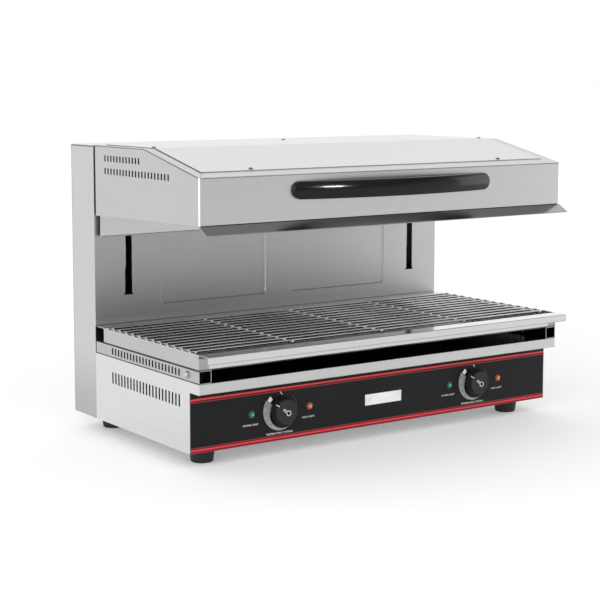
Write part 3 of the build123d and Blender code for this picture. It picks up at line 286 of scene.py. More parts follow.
def rail_dark(p, x, y, z):
    """Painted shade: 1 in a rail's hollow, in its slots, and in the joints above and below it."""
    aside = p.size(x)
    hollow = p.times(p.near(aside, RAIL_X, RAIL_HOLLOW_X), p.near(z, RAIL_Z, RAIL_HOLLOW_Z))
    joints = p.times(p.most(p.over(z, RAIL_TOP), p.below(z, RAIL_FOOT)), p.over(aside, RAIL_SKIN))
    return p.most(hollow, joints, inner_faces(p, x, y, z), cut_edges(p, x, y, z))


def tray_dark(p, x, y, z):
    """Painted shade: 1 along the tray's lowest edge, where it sits on the rails, and less on its sides, at the ends of
    its front wall and under its lip."""
    across, back, _ = p.split(p.normal)
    side = p.times(p.over(p.size(across), 0.7), 0.2)
    lip = p.times(p.near(z, LIP_Z, LIP_HALF), p.below(y, LIP_FRONT))
    front = p.times(p.below(back, -0.5), p.over(y, TRAY_FRONT))
    ends = p.times(p.spread(p.size(x), *TRAY_ENDS, 0.0, 0.55), front)
    return p.most(p.below(z, TRAY_SEAT), p.times(lip, 0.45), side, ends)


def behind_tray(p, x, y, z):
    """Painted shade: 1 low down behind the tray, fading out above the tray's top."""
    return p.spread(z, *TRAY_SHADE, 1.0, 0.0)


def base_dark(p, x, y, z):
    """Painted shade: 1 on the inner face and the slots of a side panel, and in the joint below the rail."""
    return p.most(inner_faces(p, x, y, z), cut_edges(p, x, y, z), p.over(z, BASE_JOINT))


def under_cap(p, x, y, z):
    """Painted shade: 1 on a side wall's inner face and in the joint below the top cap, and less of it, darkening
    towards its foot.
    """
    foot = p.spread(z, *WALL_FOOT, 0.3, 0.0)
    return p.most(inner_faces(p, x, y, z), p.over(z, CAP_JOINT), foot)


def hood_dark(p, x, y, z):
    """Painted shade: 1 inside the hood and in its slots, and part of the way to 1 along the folds round its top as a
    painted dark reflection.
    """
    drop = p.times(p.most(p.minus(BREAK_Y, y), 0.0), SLOPE_RATE)
    high = p.over(p.plus(z, drop), TOP_Z - FOLD_HEIGHT)
    side = p.over(p.size(x), HOOD_SKIN)
    front = p.times(p.below(y, FRONT_EDGE + FOLD_DEPTH), 0.7)
    fold = p.times(high, p.times(p.most(side, front), 0.8))
    back = p.over(p.split(p.normal)[1], 0.5)
    return p.most(inner_faces(p, x, y, z), back, cut_edges(p, x, y, z), fold)


def hood_corner(p, x, y, z):
    """1 on the rounded upright corners at the hood's front, for a painted highlight."""
    across, back, _ = p.split(p.normal)
    return p.spread(p.times(p.size(across), p.size(back)), 0.15, 0.35, 0.0, 1.0)


def behind_hood(p, x, y, z):
    """Painted shade: 1 on the rear wall's back and on what of its front is inside the hood."""
    _, back, lift = p.split(p.normal)
    inside = p.times(p.over(z, REAR_INSIDE), p.below(lift, 0.5))
    return p.most(p.over(back, 0.5), inside)


# Other finishes

def bright_wire(name, tone, rough, under=None):
    """Drawn and plated wire or rod: small dull spots, and painted shade on the undersides of the rack's wires."""
    p = Paint(name)
    spots = p.noise(p.place, 160.0, 3.0)
    cloud = p.noise(p.place, 14.0, 3.0)
    colour = p.tones(p.blend(spots, cloud, 0.4), tone, (0.35, 0.55, 0.7), 0.85, 1.08)
    if under:
        lift = p.split(p.normal)[2]
        # Undersides of the rack's wires are darkened: painted shade.
        underside_shade = p.spread(p.plus(lift, p.times(cloud, 0.2)), -0.5, 0.2, 1.0, 0.0)
        colour = p.overlay(underside_shade, colour, under)
    return p.finish(
        Base_Color=colour, Metallic=1.0, Roughness=p.spread(cloud, 0.3, 0.7, rough - 0.04, rough + 0.08),
        Normal=p.bump(spots, 0.01, 0.0003))


def oxide_tube(name):
    """Heating tube, dull with a dark green-brown oxide."""
    p = Paint(name)
    cloud = p.noise(p.place, 40.0, 4.0)
    speck = p.noise(p.place, 900.0)
    colour = p.ramp(cloud, (
        (0.3, (0.035, 0.034, 0.03)), (0.55, (0.07, 0.066, 0.058)), (0.75, (0.11, 0.1, 0.085))))
    return p.finish(
        Base_Color=colour, Metallic=0.55, Roughness=p.spread(cloud, 0.3, 0.7, 0.42, 0.62),
        Normal=p.bump(speck, 0.15, 0.0004))


def moulded(name, tone, rough, scale=1200.0, strength=0.08, coat=0.0, spread=0.06, gleam=0.5):
    """Moulded plastic, lacquer or rubber: fine pimpled skin, faint clouds of colour, edges lightened as a painted
    highlight.
    """
    p = Paint(name)
    skin = p.noise(p.place, scale)
    cloud = p.noise(p.place, 18.0, 3.0)
    rounded = p.bevelled(MOULD_EDGE)
    edge_highlight = tuple(channel * 1.5 + 0.004 for channel in tone)
    colour = p.tones(cloud, tone, (0.3, 0.55, 0.75), 0.8, 1.25)
    # Lighter edges: a painted highlight.
    colour = p.overlay(p.times(p.edge(rounded), 0.5), colour, edge_highlight)
    return p.finish(
        Base_Color=colour, Roughness=p.spread(cloud, 0.3, 0.7, rough - spread, rough + spread),
        Specular_IOR_Level=gleam, Coat_Weight=coat, Coat_Roughness=0.06,
        Normal=p.bump(skin, strength, 0.0003, rounded))


def from_axis(p, places):
    """Distance from the nearer of two axes at these places along the panel, at the knobs' height."""
    x, _, z = p.split(p.place)
    aside = p.math("MINIMUM", *(p.size(p.minus(x, place)) for place in places))
    above = p.minus(z, KNOB_Z)
    return p.math("SQRT", p.plus(p.times(aside, aside), p.times(above, above)))


def spun_knob(name):
    """Black knob: matt sides, and a satin cap with fine rings round its middle."""
    p = Paint(name)
    away = from_axis(p, KNOBS.values())
    rings = p.noise(p.vector(p.times(away, 2600.0), 0.0), 1.0, flat=True)
    cloud = p.noise(p.place, 18.0, 3.0)
    cap = p.over(p.size(p.split(p.normal)[1]), 0.8)
    tone = p.choose(cap, 0.25, p.spread(p.plus(rings, cloud), 0.7, 1.3, 0.6, 0.9))
    colour = p.ramp(tone, (
        (0.0, (0.002, 0.002, 0.002)), (0.5, (0.008, 0.008, 0.0083)), (1.0, (0.022, 0.022, 0.0225))))
    rounded = p.bevelled(MOULD_EDGE)
    # The rim's edges are lightened: a painted highlight.
    colour = p.overlay(p.times(p.edge(rounded), 0.8), colour, (0.06, 0.06, 0.061))
    return p.finish(
        Base_Color=colour, Roughness=p.choose(cap, 0.7, p.spread(rings, 0.3, 0.7, 0.36, 0.48)),
        Specular_IOR_Level=0.32, Normal=p.bump(rings, 0.06, 0.0003, rounded))


def lens(name, places, deep, glow):
    """Faceted lamp lens: dark towards its rim, with a bright broken heart painted in as a highlight, and a weak glow
    of its own colour.
    """
    p = Paint(name)
    away = from_axis(p, places)
    facets = p.noise(p.place, 420.0, 1.0)
    # A bright heart towards each lens's middle: a painted highlight.
    painted_heart = p.plus(p.spread(away, 0.0008, 0.0050, 0.85, 0.0), p.times(p.minus(facets, 0.5), 0.9))
    colour = p.ramp(painted_heart, ((0.1, deep), (0.45, shade(glow, 0.4)), (0.85, glow)))
    return p.finish(
        Base_Color=colour, Roughness=p.spread(facets, 0.2, 0.8, 0.1, 0.22), Coat_Weight=0.3,
        Emission_Color=colour, Emission_Strength=0.3,
        Normal=p.bump(facets, 0.25, 0.0003))


def fibre(name, tone):
    """Felted insulation: crossing threads and tufts."""
    p = Paint(name)
    x, y, z = p.split(p.place)
    threads, others = (
        p.noise(p.vector(p.times(x, across), p.times(y, along), z), 1.0, 3.0)
        for across, along in ((900.0, 90.0), (90.0, 900.0)))
    both = p.blend(threads, others, 0.5)
    colour = p.tones(both, tone, (0.3, 0.5, 0.7), 0.7, 1.1)
    return p.finish(
        Base_Color=colour, Roughness=p.spread(both, 0.3, 0.7, 0.85, 0.98), Normal=p.bump(both, 0.6, 0.0015))


def ink(name, tone, rough=0.4, spread=0.05, strength=0.05):
    """Printed ink with a slightly uneven lay."""
    p = Paint(name)
    lay = p.noise(p.place, 700.0, 3.0)
    cloud = p.noise(p.place, 40.0)
    colour = p.tones(p.blend(lay, cloud, 0.5), tone, (0.3, 0.5, 0.7), 0.85, 1.08)
    return p.finish(
        Base_Color=colour, Roughness=p.spread(cloud, 0.3, 0.7, rough - spread, rough + spread),
        Normal=p.bump(lay, strength, 0.0002))


def panel_sheet(name):
    """Black printed panel sheet with a faint upright weave in its matt coat."""
    p = Paint(name)
    x, _, z = p.split(p.place)
    weave = p.streaks(x, z, 1600.0, 260.0)
    cloud = p.noise(p.place, 7.0, 3.0)
    colour = p.ramp(p.blend(weave, cloud, 0.4), (
        (0.3, (0.006, 0.006, 0.0062)), (0.5, (0.009, 0.009, 0.0093)), (0.7, (0.013, 0.013, 0.0134))))
    return p.finish(
        Base_Color=colour, Roughness=p.spread(cloud, 0.3, 0.7, 0.4, 0.5), Specular_IOR_Level=0.17,
        Normal=p.bump(weave, 0.06, 0.0003, p.bevelled(0.0008)))


# These steels are one brushed stainless finish in tones set part by part to how brightly each part is lit: lit and
# shaded copies of one steel, painted light and shade.
CASING = (0.62, 0.62, 0.615)
casing_flat = steel("casing_flat", CASING, 0.30)
back_steel = steel("back_steel", (0.44, 0.44, 0.436), 0.32)
# Its downward faces are laid near-black: painted shade.
cover_steel = steel("cover_steel", CASING, 0.30, shade_facing=-1.0)
hood_steel = steel("hood_steel", (0.53, 0.53, 0.526), 0.30, shade_mask=hood_dark, highlight_mask=hood_corner)
base_steel = steel("base_steel", (0.68, 0.68, 0.675), 0.30, shade_mask=base_dark)
side_steel = steel("side_steel", (0.57, 0.57, 0.565), 0.30, shade_mask=under_cap)
wall_steel = steel("wall_steel", (0.49, 0.49, 0.486), 0.42, shade_mask=behind_tray)
apron_steel = steel("apron_steel", (0.65, 0.65, 0.645), 0.32, shade_mask=behind_hood)
# The visor's darker tone is painted shade.
visor_steel = steel("visor_steel", (0.39, 0.39, 0.39), 0.2)
# Its upward faces are laid near-black: painted shade under the tray.
deck_steel = steel("deck_steel", (0.55, 0.55, 0.546), 0.30, shade_facing=1.0)
rail_steel = steel("rail_steel", (0.47, 0.47, 0.466), 0.30, shade_mask=rail_dark)
# Its downward faces and the places its mask picks are darkened: painted shade.
tray_steel = steel("tray_steel", (0.58, 0.58, 0.575), 0.12, shade_facing=-1.0, edge_highlight=0.0, shade_mask=tray_dark)
inner_steel = steel("inner_steel", (0.50, 0.50, 0.495), 0.36)
reflector_steel = steel("reflector_steel", (0.60, 0.59, 0.57), 0.24)
fastener = bright_wire("fastener", (0.56, 0.56, 0.56), 0.3)
dull_screw = bright_wire("dull_screw", (0.20, 0.20, 0.20), 0.34)
bright_rod = bright_wire("bright_rod", (0.66, 0.66, 0.66), 0.16)
rack_chrome = bright_wire("rack_chrome", (0.97, 0.97, 0.96), 0.12, (0.04, 0.04, 0.04))
weld_metal = bright_wire("weld_metal", (0.86, 0.86, 0.85), 0.42)
element = oxide_tube("element")
panel_black = panel_sheet("panel_black")
cylinder_black = moulded("cylinder_black", (0.014, 0.014, 0.015), 0.2, strength=0.02)
aluminium = steel("aluminium", (0.58, 0.58, 0.59), 0.38)
brass = bright_wire("brass", (0.60, 0.44, 0.20), 0.28)
handle_gloss = moulded(
    "handle_gloss", (0.004, 0.004, 0.0042), 0.14, scale=300.0, strength=0.006, coat=0.15, spread=0.02, gleam=0.14)
knob_satin = spun_knob("knob_satin")
switch_plastic = moulded("switch_plastic", (0.04, 0.04, 0.042), 0.5)
gland_plastic = moulded("gland_plastic", (0.022, 0.022, 0.023), 0.48)
green_lens = lens("green_lens", [x - LAMP_ASIDE for x in KNOBS.values()], (0.0, 0.05, 0.025), (0.02, 0.46, 0.22))
orange_lens = lens("orange_lens", [x + LAMP_ASIDE for x in KNOBS.values()], (0.26, 0.05, 0.006), (0.85, 0.24, 0.03))
ceramic = moulded("ceramic", (0.72, 0.70, 0.65), 0.45, scale=500.0)
rubber = moulded("rubber", (0.008, 0.008, 0.008), 0.66, scale=800.0, strength=0.2)
insulation = fibre("insulation", (0.26, 0.23, 0.17))
red_ink = ink("red_ink", (0.80, 0.022, 0.04))
dark_red_ink = ink("dark_red_ink", (0.24, 0.014, 0.02))
white_ink = ink("white_ink", (0.88, 0.88, 0.87))
grey_ink = ink("grey_ink", (0.33, 0.33, 0.335), 0.32)
faint_ink = ink("faint_ink", (0.06, 0.06, 0.061))
black_ink = ink("black_ink", (0.02, 0.02, 0.02))
plate_white = ink("plate_white", (0.86, 0.86, 0.86), 0.3, 0.04, 0.02)
shadow_line_black = moulded("shadow_line_black", (0.03, 0.03, 0.03), 0.6, scale=600.0, strength=0.2)

FINISH = {
    casing_flat: ("column_top_cap",),
    back_steel: ("column_back_panel",),
    cover_steel: ("hood_cover",),
    hood_steel: ("hood_shell",),
    base_steel: ("base_side_left", "base_side_right"),
    side_steel: ("column_side_left", "column_side_right"),
    wall_steel: ("column_front_panel",),
    apron_steel: ("hood_rear_wall",),
    visor_steel: ("hood_visor",),
    deck_steel: ("base_deck",),
    rail_steel: ("tray_rail_left", "tray_rail_right"),
    tray_steel: ("drip_tray",),
    inner_steel: (
        "base_floor", "lift_bracket_left", "lift_bracket_right", "lift_arm_left", "lift_arm_right",
        "heater_brackets", "reflector_ledges"),
    reflector_steel: ("reflector",),
    fastener: (
        "rail_screws", "foot_screws", "foot_nuts", "cover_screws", "handle_screws", "arm_bolts"),
    bright_rod: (
        "guide_rod_left", "guide_rod_right", "gas_spring_rod_left", "gas_spring_rod_right",
        "thermostat_shaft_left", "thermostat_shaft_right"),
    rack_chrome: ("wire_rack",),
    element: ("heating_element_left", "heating_element_right"),
    panel_black: ("control_panel",),
    cylinder_black: ("gas_spring_cylinder_left", "gas_spring_cylinder_right"),
    aluminium: ("lift_carriage_left", "lift_carriage_right", "carriage_crossbar"),
    brass: ("carriage_bushes",),
    handle_gloss: ("handle",),
    knob_satin: ("knob_left", "knob_right"),
    switch_plastic: ("thermostat_left", "thermostat_right", "lamp_bodies"),
    gland_plastic: ("cable_gland", "gland_locknut"),
    green_lens: ("lamp_lenses_green",),
    orange_lens: ("lamp_lenses_orange",),
    ceramic: ("terminal_block",),
    rubber: ("feet",),
    insulation: ("insulation_pad",),
}
for material, names in FINISH.items():
    for name in names:
        for holder in nodes[name].material_slots:
            holder.material = material


# Mesh helpers

def build(name, mesh_parts, material, body, smooth=35.0):
    """One object from lists of points and faces, riding on a body."""
    mesh = bpy.data.meshes.new(name)
    points, faces = [], []
    for part_points, part_faces in mesh_parts:
        start = len(points)
        points += [tuple(point) for point in part_points]
        faces += [tuple(start + corner for corner in face) for face in part_faces]
    mesh.from_pydata(points, [], faces)
    work = bmesh.new()
    work.from_mesh(mesh)
    bmesh.ops.recalc_face_normals(work, faces=work.faces)
    work.to_mesh(mesh)
    work.free()
    mesh.materials.append(material)
    obj = bpy.data.objects.new(name, mesh)
    scene.collection.objects.link(obj)
    mesh.shade_smooth()
    mesh.set_sharp_from_angle(angle=radians(smooth))
    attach(obj, body)
    return obj


def band(base, top, closed=False):
    """Solid band from two rows of points at its base and the same two rows raised to its top."""
    count = len(base[0])
    points = [point for row in (*base, *top) for point in row]
    up = 2 * count
    faces = []
    for a in range(count if closed else count - 1):
        b = (a + 1) % count
        faces += [
            (up + a, up + b, up + count + b, up + count + a), (a, count + a, count + b, b),
            (a, b, up + b, up + a), (count + b, count + a, up + count + a, up + count + b)]
    if not closed:
        last = count - 1
        faces += [(0, up, up + count, count), (last, count + last, up + count + last, up + last)]
    return points, faces


def walls(levels, count):
    """Faces between loops of points that follow each other, from the first level to the last."""
    return [
        (low + i, low + (i + 1) % count, low + count + (i + 1) % count, low + count + i)
        for low in range(0, (levels - 1) * count, count) for i in range(count)]


def shut_walls(levels, count):
    """The same faces with one across each end."""
    return walls(levels, count) + [tuple(range(count)), tuple(range((levels - 1) * count, levels * count))]


def spun(rows, top):
    """Closed piece round Z from rows of radius and height pairs, with a flat base and a middle point at the top."""
    count = len(rows[0])
    turns = [2 * pi * i / count for i in range(count)]
    points = [(r * cos(turn), r * sin(turn), z) for row in rows for (r, z), turn in zip(row, turns)]
    last = len(points) - count
    faces = walls(len(rows), count) + [tuple(range(count))]
    faces += [(last + i, last + (i + 1) % count, len(points)) for i in range(count)]
    return points + [(0.0, 0.0, top)], faces


def moved(mesh_part, matrix):
    points, faces = mesh_part
    return [matrix @ Vector(point) for point in points], faces


def facing(place, axis):
    """Matrix that puts a piece on Z at a place, with its top towards axis."""
    return Matrix.Translation(place) @ Vector(axis).to_track_quat("Z", "Y").to_matrix().to_4x4()


def cross_head(radius, height, slot_width, slot_reach, slot_depth, quarter=5):
    """Domed screw head on Z with a cross recess. Its seat is at 0."""
    half = slot_width / 2
    ball = (radius ** 2 + height ** 2) / (2 * height)
    span = quarter + 1

    def dome(r):
        return (ball ** 2 - r ** 2) ** 0.5 - ball + height

    # Rings of points from the middle out, each in four quarters beside the arms of the cross.
    radii = [half * 2 ** 0.5, (half * 2 ** 0.5 + slot_reach) / 2, slot_reach]
    radii += [slot_reach + (radius - slot_reach) * share for share in (0.4, 0.75, 0.93, 1.0)]
    points, faces, rings = [], [], []
    for r in radii:
        turn = asin(min(half / r, 1.0))
        row = []
        for side in range(4):
            for step in range(span):
                angle = side * pi / 2 + turn + (pi / 2 - 2 * turn) * step / quarter
                row.append(len(points))
                points.append((r * cos(angle), r * sin(angle), dome(r)))
        rings.append(row)
    for r, low, high in zip(radii, rings, rings[1:]):
        for side in range(4):
            first = side * span
            faces += [(low[a], low[a + 1], high[a + 1], high[a]) for a in range(first, first + quarter)]
            if r >= slot_reach - 1e-9:
                a, b = first + quarter, (first + span) % (4 * span)
                faces.append((low[a], low[b], high[b], high[a]))

    # The recess: a floor point below each corner of the three rings that the arms cut.
    floors = {}
    for row in rings[:3]:
        for side in range(4):
            for step in (0, quarter):
                corner = row[side * span + step]
                x, y, _ = points[corner]
                floors[corner] = len(points)
                points.append((x * 0.85, y * 0.85, height - slot_depth))
    for side in range(4):
        before, after = side * span + quarter, (side * span + span) % (4 * span)
        for low, high in zip(rings[:2], rings[1:3]):
            for edge in (side * span, before):
                faces.append((low[edge], high[edge], floors[high[edge]], floors[low[edge]]))
            faces.append(tuple(floors[c] for c in (low[before], high[before], high[after], low[after])))
        a, b = rings[2][before], rings[2][after]
        faces.append((a, b, floors[b], floors[a]))
    faces.append(tuple(floors[rings[0][side * span + quarter]] for side in range(4)))

    # The skirt, a little below the seat.
    rim, count, start = rings[-1], len(rings[-1]), len(points)
    points += [(points[corner][0], points[corner][1], -0.0002) for corner in rim]
    for i in range(count):
        j = (i + 1) % count
        faces.append((rim[i], rim[j], start + j, start + i))
    faces.append(tuple(reversed(range(start, start + count))))
    return points, faces


# Printed control panel

PANEL_FRONT = -0.18205
PANEL_SIDE = 0.3985
INK = 0.00012
INK_SUNK = 0.00004


def printed(upper, lower):
    """Thin raised print between two rows of places on the panel, as (x, z)."""
    return band(*(
        [[(x, y, z) for x, z in row] for row in (upper, lower)]
        for y in (PANEL_FRONT + INK_SUNK, PANEL_FRONT - INK)))


def line(low, high):
    """Printed line across the whole panel, in short lengths."""
    places = [-PANEL_SIDE + 2 * PANEL_SIDE * i / 40 for i in range(41)]
    return printed([(x, high) for x in places], [(x, low) for x in places])


BRIGHT_LINES = ((0.1171, 0.1204), (0.0314, 0.0347))
DARK_LINES = ((0.1134, 0.1153), (0.0360, 0.0379), (0.0280, 0.0301))
build("panel_lines_bright", [line(*heights) for heights in BRIGHT_LINES], red_ink, "frame")
build("panel_lines_dark", [line(*heights) for heights in DARK_LINES], dark_red_ink, "frame")


def dial(x, start, end, outer, inner, count):
    """Part of a ring round a knob, between two angles. Each radius is given as its start, change and power."""
    rows = ([], [])
    for i in range(count + 1):
        share = i / count
        angle = radians(start + (end - start) * share)
        for row, (radius, change, power) in zip(rows, (outer, inner)):
            reach = radius + change * share ** power
            row.append((x + reach * cos(angle), KNOB_Z + reach * sin(angle)))
    return printed(*rows)


def bar(start, end, half):
    """Straight printed stroke between two places on the panel."""
    along = Vector((end[0] - start[0], end[1] - start[1]))
    side = Vector((-along.y, along.x)).normalized() * half
    spots = [Vector(start) + along * step / 4 for step in range(5)]
    return printed([spot + side for spot in spots], [spot - side for spot in spots])


# The dials: angles in degrees, the two radii as dial() takes them, and the count of steps.
BAND_OUTER, BAND_INNER = 0.0356, 0.0205
EVEN_BAND = (147.0, 178.0, (BAND_OUTER, 0.0, 1.0), (BAND_INNER, 0.0, 1.0), 14)
TAPER_BAND = (178.0, 292.0, (BAND_OUTER, -0.0006, 1.0), (BAND_INNER, 0.0134, 0.9), 40)
OFF_MARK = (128.5, 145.0, (0.0332, 0.0, 1.0), (0.0258, 0.0, 1.0), 8)
TAIL = (292.0, 405.0, (0.0350, -0.0008, 1.0), (0.0337, 0.0, 1.0), 36)
TICK_START, TICK_END, TICK_HALF = (-0.0004, 0.03175), (0.00375, 0.0270), 0.0006


def tick(x):
    ends = [(x + aside, KNOB_Z + above) for aside, above in (TICK_START, TICK_END)]
    return bar(*ends, TICK_HALF)


places = KNOBS.values()
build("dial_bands", [dial(x, *part) for x in places for part in (EVEN_BAND, TAPER_BAND)], grey_ink, "frame")
build("dial_off_marks", [dial(x, *OFF_MARK) for x in places], white_ink, "frame")
build("dial_ticks", [tick(x) for x in places], white_ink, "frame")
build("dial_tails", [dial(x, *TAIL) for x in places], faint_ink, "frame")

LETTER_HALF = 0.02


def words(name, text, x, z, width, height, material, front=PANEL_FRONT, turn=0.0):
    """Printed words as thin raised letters facing the front, fitted to a width and a height."""
    curve = bpy.data.curves.new(name + "_line", "FONT")
    curve.body = text
    curve.align_x = "CENTER"
    curve.align_y = "CENTER"
    curve.size = 1.0
    curve.extrude = LETTER_HALF
    curve.resolution_u = 2
    holder = bpy.data.objects.new(name + "_line", curve)
    scene.collection.objects.link(holder)
    bpy.context.view_layer.update()
    mesh = bpy.data.meshes.new_from_object(holder.evaluated_get(bpy.context.evaluated_depsgraph_get()))
    bpy.data.objects.remove(holder)
    bpy.data.curves.remove(curve)
    xs = [v.co.x for v in mesh.vertices]
    ys = [v.co.y for v in mesh.vertices]
    middle = Vector(((min(xs) + max(xs)) / 2, (min(ys) + max(ys)) / 2, 0.0))
    across = width / (max(xs) - min(xs))
    up = height / (max(ys) - min(ys))
    place = Matrix.Translation((x, front - INK / 2, z)) @ Matrix.Rotation(pi / 2, 4, "X")
    place = place @ Matrix.Rotation(turn, 4, "Z") @ Matrix.Diagonal((across, up, INK / (2 * LETTER_HALF), 1.0))
    mesh.transform(place @ Matrix.Translation(-middle))
    mesh.name = name
    mesh.materials.clear()
    mesh.materials.append(material)
    obj = bpy.data.objects.new(name, mesh)
    scene.collection.objects.link(obj)
    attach(obj, "frame")
    return obj


# Words by each knob: distance aside of it, height, and the width and height they are fitted to.
LABELS = (
    ("label_power_", "POWER LIGHT", -0.0615, 0.0623, 0.031, 0.0030),
    ("label_heat_", "HEAT LIGHT", 0.0585, 0.0620, 0.0258, 0.0030),
    ("label_temperature_", "TEMPERATURE CONTROL", -0.002, 0.0413, 0.0555, 0.0031))

# Numbers on the dial's band, with their angles. They run towards the knob's middle, and round it past a turning angle.
NUMBERS = ((300, 161.0), (250, 186.0), (200, 209.0), (150, 230.0))
NUMBER_RADIUS, NUMBER_WIDTH, NUMBER_HEIGHT = 0.0312, 0.0052, 0.0021
TURNING_ANGLE = 190.0

for side, x in KNOBS.items():
    for name, text, aside, z, width, height in LABELS:
        words(name + side, text, x + aside, z, width, height, white_ink)
    for number, angle in NUMBERS:
        words(
            f"scale_{number}_{side}", str(number), x + NUMBER_RADIUS * cos(radians(angle)),
            KNOB_Z + NUMBER_RADIUS * sin(radians(angle)), NUMBER_WIDTH, NUMBER_HEIGHT, black_ink,
            front=PANEL_FRONT - INK, turn=radians(angle - (270.0 if angle > TURNING_ANGLE else 180.0)))


def rounded_loop(x0, x1, z0, z1, radius, steps=6):
    """Corner points of a rounded rectangle, as (x, z)."""
    loop = []
    for cx, cz, start in (
            (x1 - radius, z1 - radius, 0.0), (x0 + radius, z1 - radius, 90.0),
            (x0 + radius, z0 + radius, 180.0), (x1 - radius, z0 + radius, 270.0)):
        for step in range(steps + 1):
            angle = radians(start + 90.0 * step / steps)
            loop.append((cx + radius * cos(angle), cz + radius * sin(angle)))
    return loop


def plate(levels):
    """Plate from rounded loops, each with its own height off the panel, closed at front and back."""
    loops = [[(x, PANEL_FRONT - rise, z) for x, z in rounded_loop(*sizes)] for sizes, rise in levels]
    return [point for loop in loops for point in loop], shut_walls(len(loops), len(loops[0]))


build("name_plate", [plate((
    ((-0.0365, 0.0455, 0.0658, 0.0855, 0.0010), -INK_SUNK),
    ((-0.0365, 0.0455, 0.0658, 0.0855, 0.0010), 0.0005),
    ((-0.0361, 0.0451, 0.0662, 0.0851, 0.0008), 0.0008),
    ((-0.0353, 0.0443, 0.0670, 0.0843, 0.0005), 0.0008),
    ((-0.0351, 0.0441, 0.0672, 0.0841, 0.0005), 0.0007)))], plate_white, "frame")


# Knobs and their marks

KNOB_BACK = -0.18235
KNOB_ANGLE = radians(145.0)
KNOB_STEPS = 96

# Radius and depth along half of a knob's outline, from the end of its bore to the edge of its dished cap.
KNOB_OUTLINE = (
    (0.00305, 0.0123), (0.00305, 0.0080), (0.0070, 0.0080), (0.0070, 0.0155), (0.0138, 0.0155), (0.0138, 0.0),
    (0.0168, 0.0), (0.0170, 0.0002), (0.0170, 0.0068), (0.0236, 0.0068), (0.0241, 0.0070), (0.02438, 0.0075),
    (0.0225, 0.0185), (0.0210, 0.0200))
DISH_RADII = (0.018, 0.014, 0.009, 0.004, 0.001)
DISH_RADIUS, DISH_MIDDLE, DISH_RISE = 0.021, 0.0192, 0.0008

# The pointer's radius and depth along the rim, and half of its width.
POINTER_PATH = ((0.02329, 0.0145), (0.02295, 0.0165), (0.02262, 0.01855), (0.02108, 0.02010), (0.01880, 0.01998))
POINTER_HALF = 0.0006

# The mark on the cap: places of its tip and its bulb, and the radii of its neck and bulb, outside and inside.
MARK_TIP, MARK_BULB = 0.0068, -0.0048
MARK_RADII = ((0.0019, 0.0047), (0.0009, 0.0037))


def on_knob(x, along, across, depth):
    """Point on a knob: along its pointer's direction, across it, and out from the panel."""
    return (
        x + along * cos(KNOB_ANGLE) - across * sin(KNOB_ANGLE), KNOB_BACK - depth,
        KNOB_Z + along * sin(KNOB_ANGLE) + across * cos(KNOB_ANGLE))


def dish(along, across):
    """Depth of a knob's dished cap."""
    return DISH_MIDDLE + DISH_RISE * (along ** 2 + across ** 2) / DISH_RADIUS ** 2


def flask(tip, neck, bulb, bulb_radius, count=40):
    """Loop round a narrow neck with a round tip and the bulb below it, on one line."""
    lean = asin(neck / bulb_radius)
    loop = []
    for centre, radius, start, end in ((tip, neck, -pi / 2, pi / 2), (bulb, bulb_radius, lean, 2 * pi - lean)):
        for i in range(count // 2):
            angle = start + (end - start) * i / (count // 2 - 1)
            loop.append((centre + radius * cos(angle), radius * sin(angle)))
    return loop


for side, x in KNOBS.items():
    outline = [*KNOB_OUTLINE, *((r, dish(r, 0.0)) for r in DISH_RADII)]
    body = spun([[pair] * KNOB_STEPS for pair in outline], outline[-1][1])
    body = moved(body, facing((x, KNOB_BACK, KNOB_Z), (0, -1, 0)))
    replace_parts(build("knob_body_" + side, [body], knob_satin, "knob_" + side), "knob_" + side)
    pointer = band(*(
        [[on_knob(x, r + rise, aside, d + rise) for r, d in POINTER_PATH] for aside in (POINTER_HALF, -POINTER_HALF)]
        for rise in (-0.0003, 0.00008)))
    build("knob_pointer_" + side, [pointer], white_ink, "knob_" + side)
    loops = [flask(MARK_TIP, neck, MARK_BULB, bulb) for neck, bulb in MARK_RADII]
    mark = band(*(
        [[on_knob(x, a, b, dish(a, b) + rise) for a, b in loop] for loop in loops]
        for rise in (-0.0001, 0.00018)), closed=True)
    build("knob_mark_" + side, [mark], white_ink, "knob_" + side)


# Screws and nuts

SLOPE = atan2(SLOPE_RATE, 1.0)
SLOPE_UP = (0.0, -sin(SLOPE), cos(SLOPE))
FLAT_UP = (0.0, 0.0, 1.0)

# Radius, height, and the width, reach and depth of the recess.
COVER_HEAD = (0.0045, 0.0021, 0.0012, 0.0026, 0.0014)
BACK_HEAD = (0.0036, 0.0019, 0.0010, 0.0021, 0.0012)

# The cover's screws, as x, y and turn in degrees.
COVER_SCREWS = (
    (-0.276, COVER_FRONT + 0.008, 20.0), (0.276, COVER_FRONT + 0.008, 65.0),
    (-0.370, BREAK_Y + 0.0187, 35.0), (0.370, BREAK_Y + 0.0187, 80.0), (0.0, 0.13025, 10.0))


def turned_head(place, axis, turn, sizes):
    return moved(cross_head(*sizes), facing(place, axis) @ Matrix.Rotation(radians(turn), 4, "Z"))


def top_up(y):
    """Direction square to the hood's top at y."""
    return SLOPE_UP if y < BREAK_Y else FLAT_UP


def on_top(x, y, rise=0.0012):
    """Point on the hood's top at x, y, raised square to the top."""
    drop = max(BREAK_Y - y, 0.0) * SLOPE_RATE
    return Vector((x, y, TOP_Z - drop)) + Vector(top_up(y)) * rise


heads = [turned_head(on_top(x, y), top_up(y), turn, COVER_HEAD) for x, y, turn in COVER_SCREWS]
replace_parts(build("cover_screw_heads", heads, dull_screw, "hood"), "cover_screws")

NUT_CORNER, NUT_HEX, NUT_DOME, NUT_HEIGHT = 0.0066, 0.0032, 0.0050, 0.0064
RAIL_BOLT_Y = -0.17385


